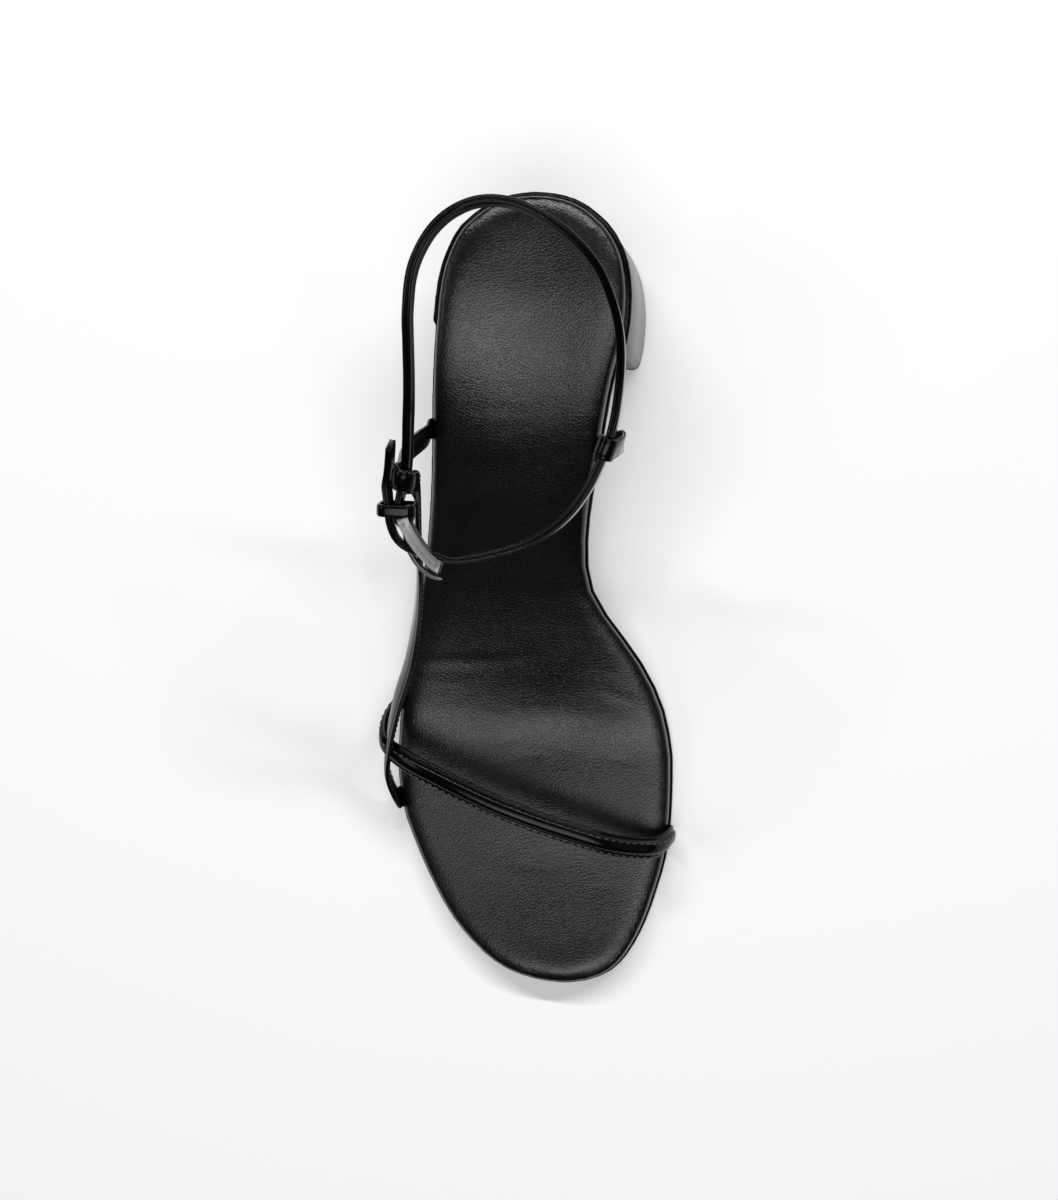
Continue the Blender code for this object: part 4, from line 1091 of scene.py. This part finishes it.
def soft_copy(name, node, rounds, level_rounds=0):
    """A fine, softened copy of a solid. Levelling smooths the upper face alone, many times."""
    piece = welded_copy(name, node)
    piece.data.remesh_voxel_size = FINE_VOXEL
    bpy.ops.object.voxel_remesh()
    if level_rounds:
        upper = piece.vertex_groups.new(name="upper_face")
        upper.add([v.index for v in piece.data.vertices if v.normal.z > LEVEL_PART], 1.0, "REPLACE")
        smooth_out(piece, level_rounds, upper.name)
    smooth_out(piece, rounds)
    piece.data.shade_smooth()
    print(name, "has", len(piece.data.polygons), "faces")
    return piece


footbed = soft_copy("footbed", "insole", 3, 100)

# %% Press the footbed
TURNS_DOWN = 0.6
FACES_UP = 0.9
WELL_INSIDE = 0.9


def vertex_values(mesh, what):
    values = np.empty(len(mesh.vertices) * 3)
    mesh.vertices.foreach_get(what, values)
    return values.reshape(-1, 3)


def hollow_drop(x, y, along, across, long, wide, depth):
    far = ((y - y_of(along)) / long) ** 2 + ((x - across) / wide) ** 2
    return depth * np.exp(-far)


def crease_drop(x, y, first, last, wide, depth):
    """A trough along a straight line, deepest in its middle."""
    step = last - first
    share = np.clip(((x - first[0]) * step[0] + (y - first[1]) * step[1]) / (step @ step), 0, 1)
    far = np.hypot(x - first[0] - step[0] * share, y - first[1] - step[1] * share) / wide
    return depth * np.exp(-(far**2)) * (0.35 + 0.65 * np.sin(np.pi * share))


def edge_drop(places, upper, inward, wide, depth):
    """A dip all along the edge, at a distance inward from where the upper face turns down."""
    rim = KDTree(int((upper <= 0).sum()))
    for index in np.flatnonzero(upper <= 0):
        rim.insert((places[index, 0], places[index, 1], 0.0), int(index))
    rim.balance()
    drop = np.zeros(len(places))
    for index in np.flatnonzero(upper > WELL_INSIDE):
        far = rim.find((places[index, 0], places[index, 1], 0.0))[2]
        drop[index] = depth * math.exp(-(((far - inward) / wide) ** 2))
    return drop


def press(piece):
    """Moves the upper face down by all the hollows, creases and dips together."""
    places = vertex_values(piece.data, "co")
    level = vertex_values(piece.data, "normal")[:, 2]
    upper = np.clip((level - TURNS_DOWN) / (FACES_UP - TURNS_DOWN), 0, 1)
    x, y = places[:, 0], places[:, 1]
    drop = np.zeros(len(places))
    for along, *sizes in HOLLOWS:
        drop += hollow_drop(x, y, along, *(size / 1000 for size in sizes))
    for along_a, across_a, along_b, across_b, wide, depth in CREASES:
        first = np.array((across_a / 1000, y_of(along_a)))
        last = np.array((across_b / 1000, y_of(along_b)))
        drop += crease_drop(x, y, first, last, wide / 1000, depth / 1000)
    for sizes in EDGE_DIP:
        drop += edge_drop(places, upper, *(size / 1000 for size in sizes))
    places[:, 2] -= drop * upper
    piece.data.vertices.foreach_set("co", places.ravel())
    piece.data.update()
    print("deepest place pressed down by", round(float(drop.max()) * 1000, 2), "mm")


press(footbed)
dress(footbed, "footbed_leather", "insole")

# %% [markdown]
# ## Edge of the sole and heel
# The outsole's edge is wrapped in leather and so has no sharp corner. It curves in all directions, so
# a fine remesh and some smoothing round it more evenly than a bevel. The heel is a block covered with
# the same leather. Its edges are only a little softened, and there a bevel keeps the walls true.

# %% Softened sole and heel
COVER_ROUNDING = 0.0004


def eased_copy(name, node):
    """A copy of a solid with its edges eased and its round walls shaded smooth."""
    piece = welded_copy(name, node)
    round_edges(piece, COVER_ROUNDING, 40)
    bpy.ops.object.shade_smooth_by_angle(angle=math.radians(30))
    print(name, "has", len(piece.data.polygons), "faces")
    return piece


sole = dress(soft_copy("sole_edge", "outsole", 5), "black_leather", "outsole")
heel = dress(eased_copy("heel_cover", "heel_block"), "black_leather", "heel_block")

# %% [markdown]
# ## Leather grain
# Leather has three scales: pores and fine grain under a millimetre, faint wrinkles of a few
# millimetres, and broad clouds where the finish is a little more or less polished. They are built
# once as a node group that puts out a height and a cloud mask, and each leather sets its own scale.
# The pattern is worked out in space, so it doesn't stretch where a strap bends.

# %% Small helpers for nodes
def feed(tree, socket, value):
    """Sets a socket to a number, or links another node's output to it."""
    if isinstance(value, (int, float)):
        socket.default_value = value
    else:
        tree.links.new(value, socket)


def maths(tree, operation, first, second):
    node = tree.nodes.new("ShaderNodeMath")
    node.operation = operation
    feed(tree, node.inputs[0], first)
    feed(tree, node.inputs[1], second)
    return node.outputs[0]


def noise(tree, place, scale, detail, distortion=0.0):
    node = tree.nodes.new("ShaderNodeTexNoise")
    node.inputs["Detail"].default_value = detail
    node.inputs["Distortion"].default_value = distortion
    feed(tree, node.inputs["Scale"], scale)
    tree.links.new(place, node.inputs["Vector"])
    return node.outputs["Fac"]


def new_group(name, inputs, outputs):
    group = bpy.data.node_groups.new(name, "ShaderNodeTree")
    for label, kind in inputs:
        group.interface.new_socket(name=label, in_out="INPUT", socket_type=kind)
    for label, kind in outputs:
        group.interface.new_socket(name=label, in_out="OUTPUT", socket_type=kind)
    return group, group.nodes.new("NodeGroupInput").outputs, group.nodes.new("NodeGroupOutput").inputs


print("node helpers are ready")

# %% Grain node group
PEBBLE_RIM = 0.22
PEBBLE_HEIGHT = 2.2
PORE_HEIGHT = 0.5
PORE_FINENESS = 1.7
WRINKLE_SCALE = 120.0
CLOUD_SCALE = 26.0


def leather_grain_group():
    inputs = (
        ("Vector", "NodeSocketVector"),
        ("Grain Scale", "NodeSocketFloat"),
        ("Grain Depth", "NodeSocketFloat"),
        ("Wrinkle Depth", "NodeSocketFloat"),
    )
    outputs = (("Height", "NodeSocketFloat"), ("Cloud", "NodeSocketFloat"))
    group, given, wanted = new_group("leather_grain", inputs, outputs)
    cells = group.nodes.new("ShaderNodeTexVoronoi")
    cells.feature = "DISTANCE_TO_EDGE"
    feed(group, cells.inputs["Vector"], given["Vector"])
    feed(group, cells.inputs["Scale"], given["Grain Scale"])
    pebbles = maths(group, "MINIMUM", cells.outputs["Distance"], PEBBLE_RIM)
    pores = noise(group, given["Vector"], maths(group, "MULTIPLY", given["Grain Scale"], PORE_FINENESS), 3.0)
    wrinkles = noise(group, given["Vector"], WRINKLE_SCALE, 4.0, 0.1)
    pebbles = maths(group, "MULTIPLY", pebbles, PEBBLE_HEIGHT)
    pores = maths(group, "MULTIPLY", pores, PORE_HEIGHT)
    fine = maths(group, "MULTIPLY", maths(group, "ADD", pebbles, pores), given["Grain Depth"])
    broad = maths(group, "MULTIPLY", wrinkles, given["Wrinkle Depth"])
    feed(group, wanted["Height"], maths(group, "ADD", fine, broad))
    feed(group, wanted["Cloud"], noise(group, given["Vector"], CLOUD_SCALE, 3.0))
    return group


grain = leather_grain_group()
print("node group:", grain.name)

# %% [markdown]
# ## Leathers, rubber and metal
# Black leather has almost no colour of its own. What the eye reads as its finish is how sharply it
# mirrors the light, so the clouds steer the roughness as well as the colour. The footbed has the most
# shine and the deepest grain. The straps are smooth and nearly black but for their lit lines.

# %% Leather
def new_material(name):
    material = bpy.data.materials.new(name)
    material.use_nodes = True
    return material, material.node_tree, material.node_tree.nodes["Principled BSDF"].inputs


def object_place(tree):
    return tree.nodes.new("ShaderNodeTexCoord").outputs["Object"]


def spread(tree, value, low, high):
    """Stretches a 0 to 1 mask, most of which lies in its middle, to a low and a high value."""
    node = tree.nodes.new("ShaderNodeMapRange")
    node.inputs["From Min"].default_value = 0.35
    node.inputs["From Max"].default_value = 0.65
    node.inputs["To Min"].default_value = low
    node.inputs["To Max"].default_value = high
    tree.links.new(value, node.inputs["Value"])
    return node.outputs["Result"]


def roughen(tree, height, lift, shader):
    """Lets a height, lifted by so many metres, tilt the surface."""
    bump = tree.nodes.new("ShaderNodeBump")
    bump.inputs["Strength"].default_value = 1.0
    bump.inputs["Distance"].default_value = lift
    tree.links.new(height, bump.inputs["Height"])
    tree.links.new(bump.outputs["Normal"], shader["Normal"])


def leather(name, colours, shine, smoothest, roughest, grain_scale, grain_depth, wrinkle_depth, lift):
    material, tree, shader = new_material(name)
    shader["Specular IOR Level"].default_value = shine
    skin = tree.nodes.new("ShaderNodeGroup")
    skin.node_tree = grain
    tree.links.new(object_place(tree), skin.inputs["Vector"])
    skin.inputs["Grain Scale"].default_value = grain_scale
    skin.inputs["Grain Depth"].default_value = grain_depth
    skin.inputs["Wrinkle Depth"].default_value = wrinkle_depth
    cloud = skin.outputs["Cloud"]
    colour = tree.nodes.new("ShaderNodeMix")
    colour.data_type = "RGBA"
    for socket, value in zip("AB", colours):
        colour.inputs[socket].default_value = (*value, 1.0)
    tree.links.new(spread(tree, cloud, 0.0, 1.0), colour.inputs["Factor"])
    tree.links.new(colour.outputs["Result"], shader["Base Color"])
    tree.links.new(spread(tree, cloud, roughest, smoothest), shader["Roughness"])
    roughen(tree, skin.outputs["Height"], lift / 1000, shader)
    return material


print("a leather can now be made from its colours and seven numbers")

# %% The finishes of this sandal
BLACK = ((0.0010, 0.0010, 0.0012), (0.0018, 0.0018, 0.0020))
# The stitches' grey is a painted highlight: it stands in for the glint along the stitch rows.
THREAD_GREY_PAINTED_GLINT = ((0.030, 0.030, 0.031), (0.052, 0.052, 0.054))
RUBBER_BLACK = ((0.008, 0.008, 0.008), (0.014, 0.014, 0.014))
LEATHERS = (
    # name, colours, shine, smoothest, roughest, grain scale, grain depth, wrinkle depth, lift in mm
    ("strap_leather", BLACK, 0.16, 0.14, 0.19, 1500.0, 0.4, 0.3, 0.010),
    ("footbed_leather", BLACK, 0.50, 0.25, 0.34, 1100.0, 2.2, 3.4, 0.022),
    ("edge_leather", BLACK, 0.10, 0.24, 0.32, 1300.0, 0.4, 0.5, 0.012),
    ("heel_leather", BLACK, 0.30, 0.22, 0.29, 1300.0, 0.4, 0.5, 0.012),
    ("waxed_thread", THREAD_GREY_PAINTED_GLINT, 0.60, 0.24, 0.32, 2600.0, 0.2, 0.2, 0.005),
    ("tread_rubber", RUBBER_BLACK, 0.40, 0.55, 0.70, 2400.0, 1.2, 0.4, 0.040),
)
GUNMETAL = (0.20, 0.20, 0.205)
METAL_MARK_SCALE = 900.0
METAL_LIFT = 0.0000008


def metal(name, colour, smoothest, roughest):
    material, tree, shader = new_material(name)
    shader["Metallic"].default_value = 1.0
    shader["Base Color"].default_value = (*colour, 1.0)
    marks = noise(tree, object_place(tree), METAL_MARK_SCALE, 5.0)
    tree.links.new(spread(tree, marks, smoothest, roughest), shader["Roughness"])
    roughen(tree, marks, METAL_LIFT, shader)
    return material


def paint(material, *pieces):
    for piece in pieces:
        piece.data.materials.clear()
        piece.data.materials.append(material)


finishes = {name: leather(name, *values) for name, *values in LEATHERS}
paint(finishes["strap_leather"], toe_strap, lateral_strap, ankle_strap, loop, keeper)
# The stitches get the grey thread, whose lightness is a painted highlight.
paint(finishes["waxed_thread"], *stitches)
paint(finishes["footbed_leather"], footbed)
paint(finishes["edge_leather"], sole)
paint(finishes["heel_leather"], heel)
paint(finishes["tread_rubber"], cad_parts["heel_top_piece"])
paint(metal("buckle_metal", GUNMETAL, 0.34, 0.42), buckle_frame, prong, prong_eye)
print("materials:", ", ".join(m.name for m in bpy.data.materials if m.users))

# %% [markdown]
# ## Studio
# The floor is a plain pale sheet that glows a little, so shadows on it stay soft. The main softbox
# hangs beyond the toes, where the heel seat and the ball mirror it and turn grey, while the steep
# waist mirrors the dim walls and stays black. A narrow strip beyond the heel draws a thin bright line
# along each strap, and two weak lights fill in the sides.

# %% Floor and light
FLOOR_SIZE = 30.0
FLOOR_COLOUR = (0.86, 0.865, 0.88, 1.0)
FLOOR_GLOW = (0.975, 0.98, 1.0, 1.0)
WALL_COLOUR = (0.95, 0.97, 1.0, 1.0)
LIGHTS = (
    # name, place, size, power
    ("toe_side_softbox", (0.06, -0.345, 1.05), (0.70, 0.35), 3.6),
    ("heel_side_strip", (0.10, 0.75, 1.05), (1.50, 0.05), 13.0),
    ("arch_side_fill", (1.15, 0.05, 0.75), (1.20, 0.90), 0.6),
    ("outer_side_fill", (-0.95, 0.10, 0.85), (0.50, 0.40), 1.6),
)

bpy.ops.object.select_all(action="DESELECT")
bpy.ops.mesh.primitive_plane_add(size=FLOOR_SIZE, location=(0, 0, 0))
floor = bpy.context.object
floor.name = "studio_floor"
paper, _, paper_shader = new_material("pale_paper")
paper_shader["Base Color"].default_value = FLOOR_COLOUR
paper_shader["Roughness"].default_value = 0.9
paper_shader["Specular IOR Level"].default_value = 0.2
paper_shader["Emission Color"].default_value = FLOOR_GLOW
paper_shader["Emission Strength"].default_value = 0.21
floor.data.materials.append(paper)

for name, place, size, power in LIGHTS:
    data = bpy.data.lights.new(name, "AREA")
    data.shape = "RECTANGLE"
    data.size, data.size_y = size
    data.energy = power
    light = bpy.data.objects.new(name, data)
    bpy.context.scene.collection.objects.link(light)
    light.location = place
    light.rotation_mode = "QUATERNION"
    light.rotation_quaternion = Vector(place).to_track_quat("Z", "Y")
world = bpy.data.worlds.new("dim_walls")
world.use_nodes = True
walls = world.node_tree.nodes["Background"].inputs
walls["Color"].default_value = WALL_COLOUR
walls["Strength"].default_value = 0.03
bpy.context.scene.world = world
bpy.context.scene.view_settings.view_transform = "Standard"
print("lights:", ", ".join(name for name, *_ in LIGHTS))
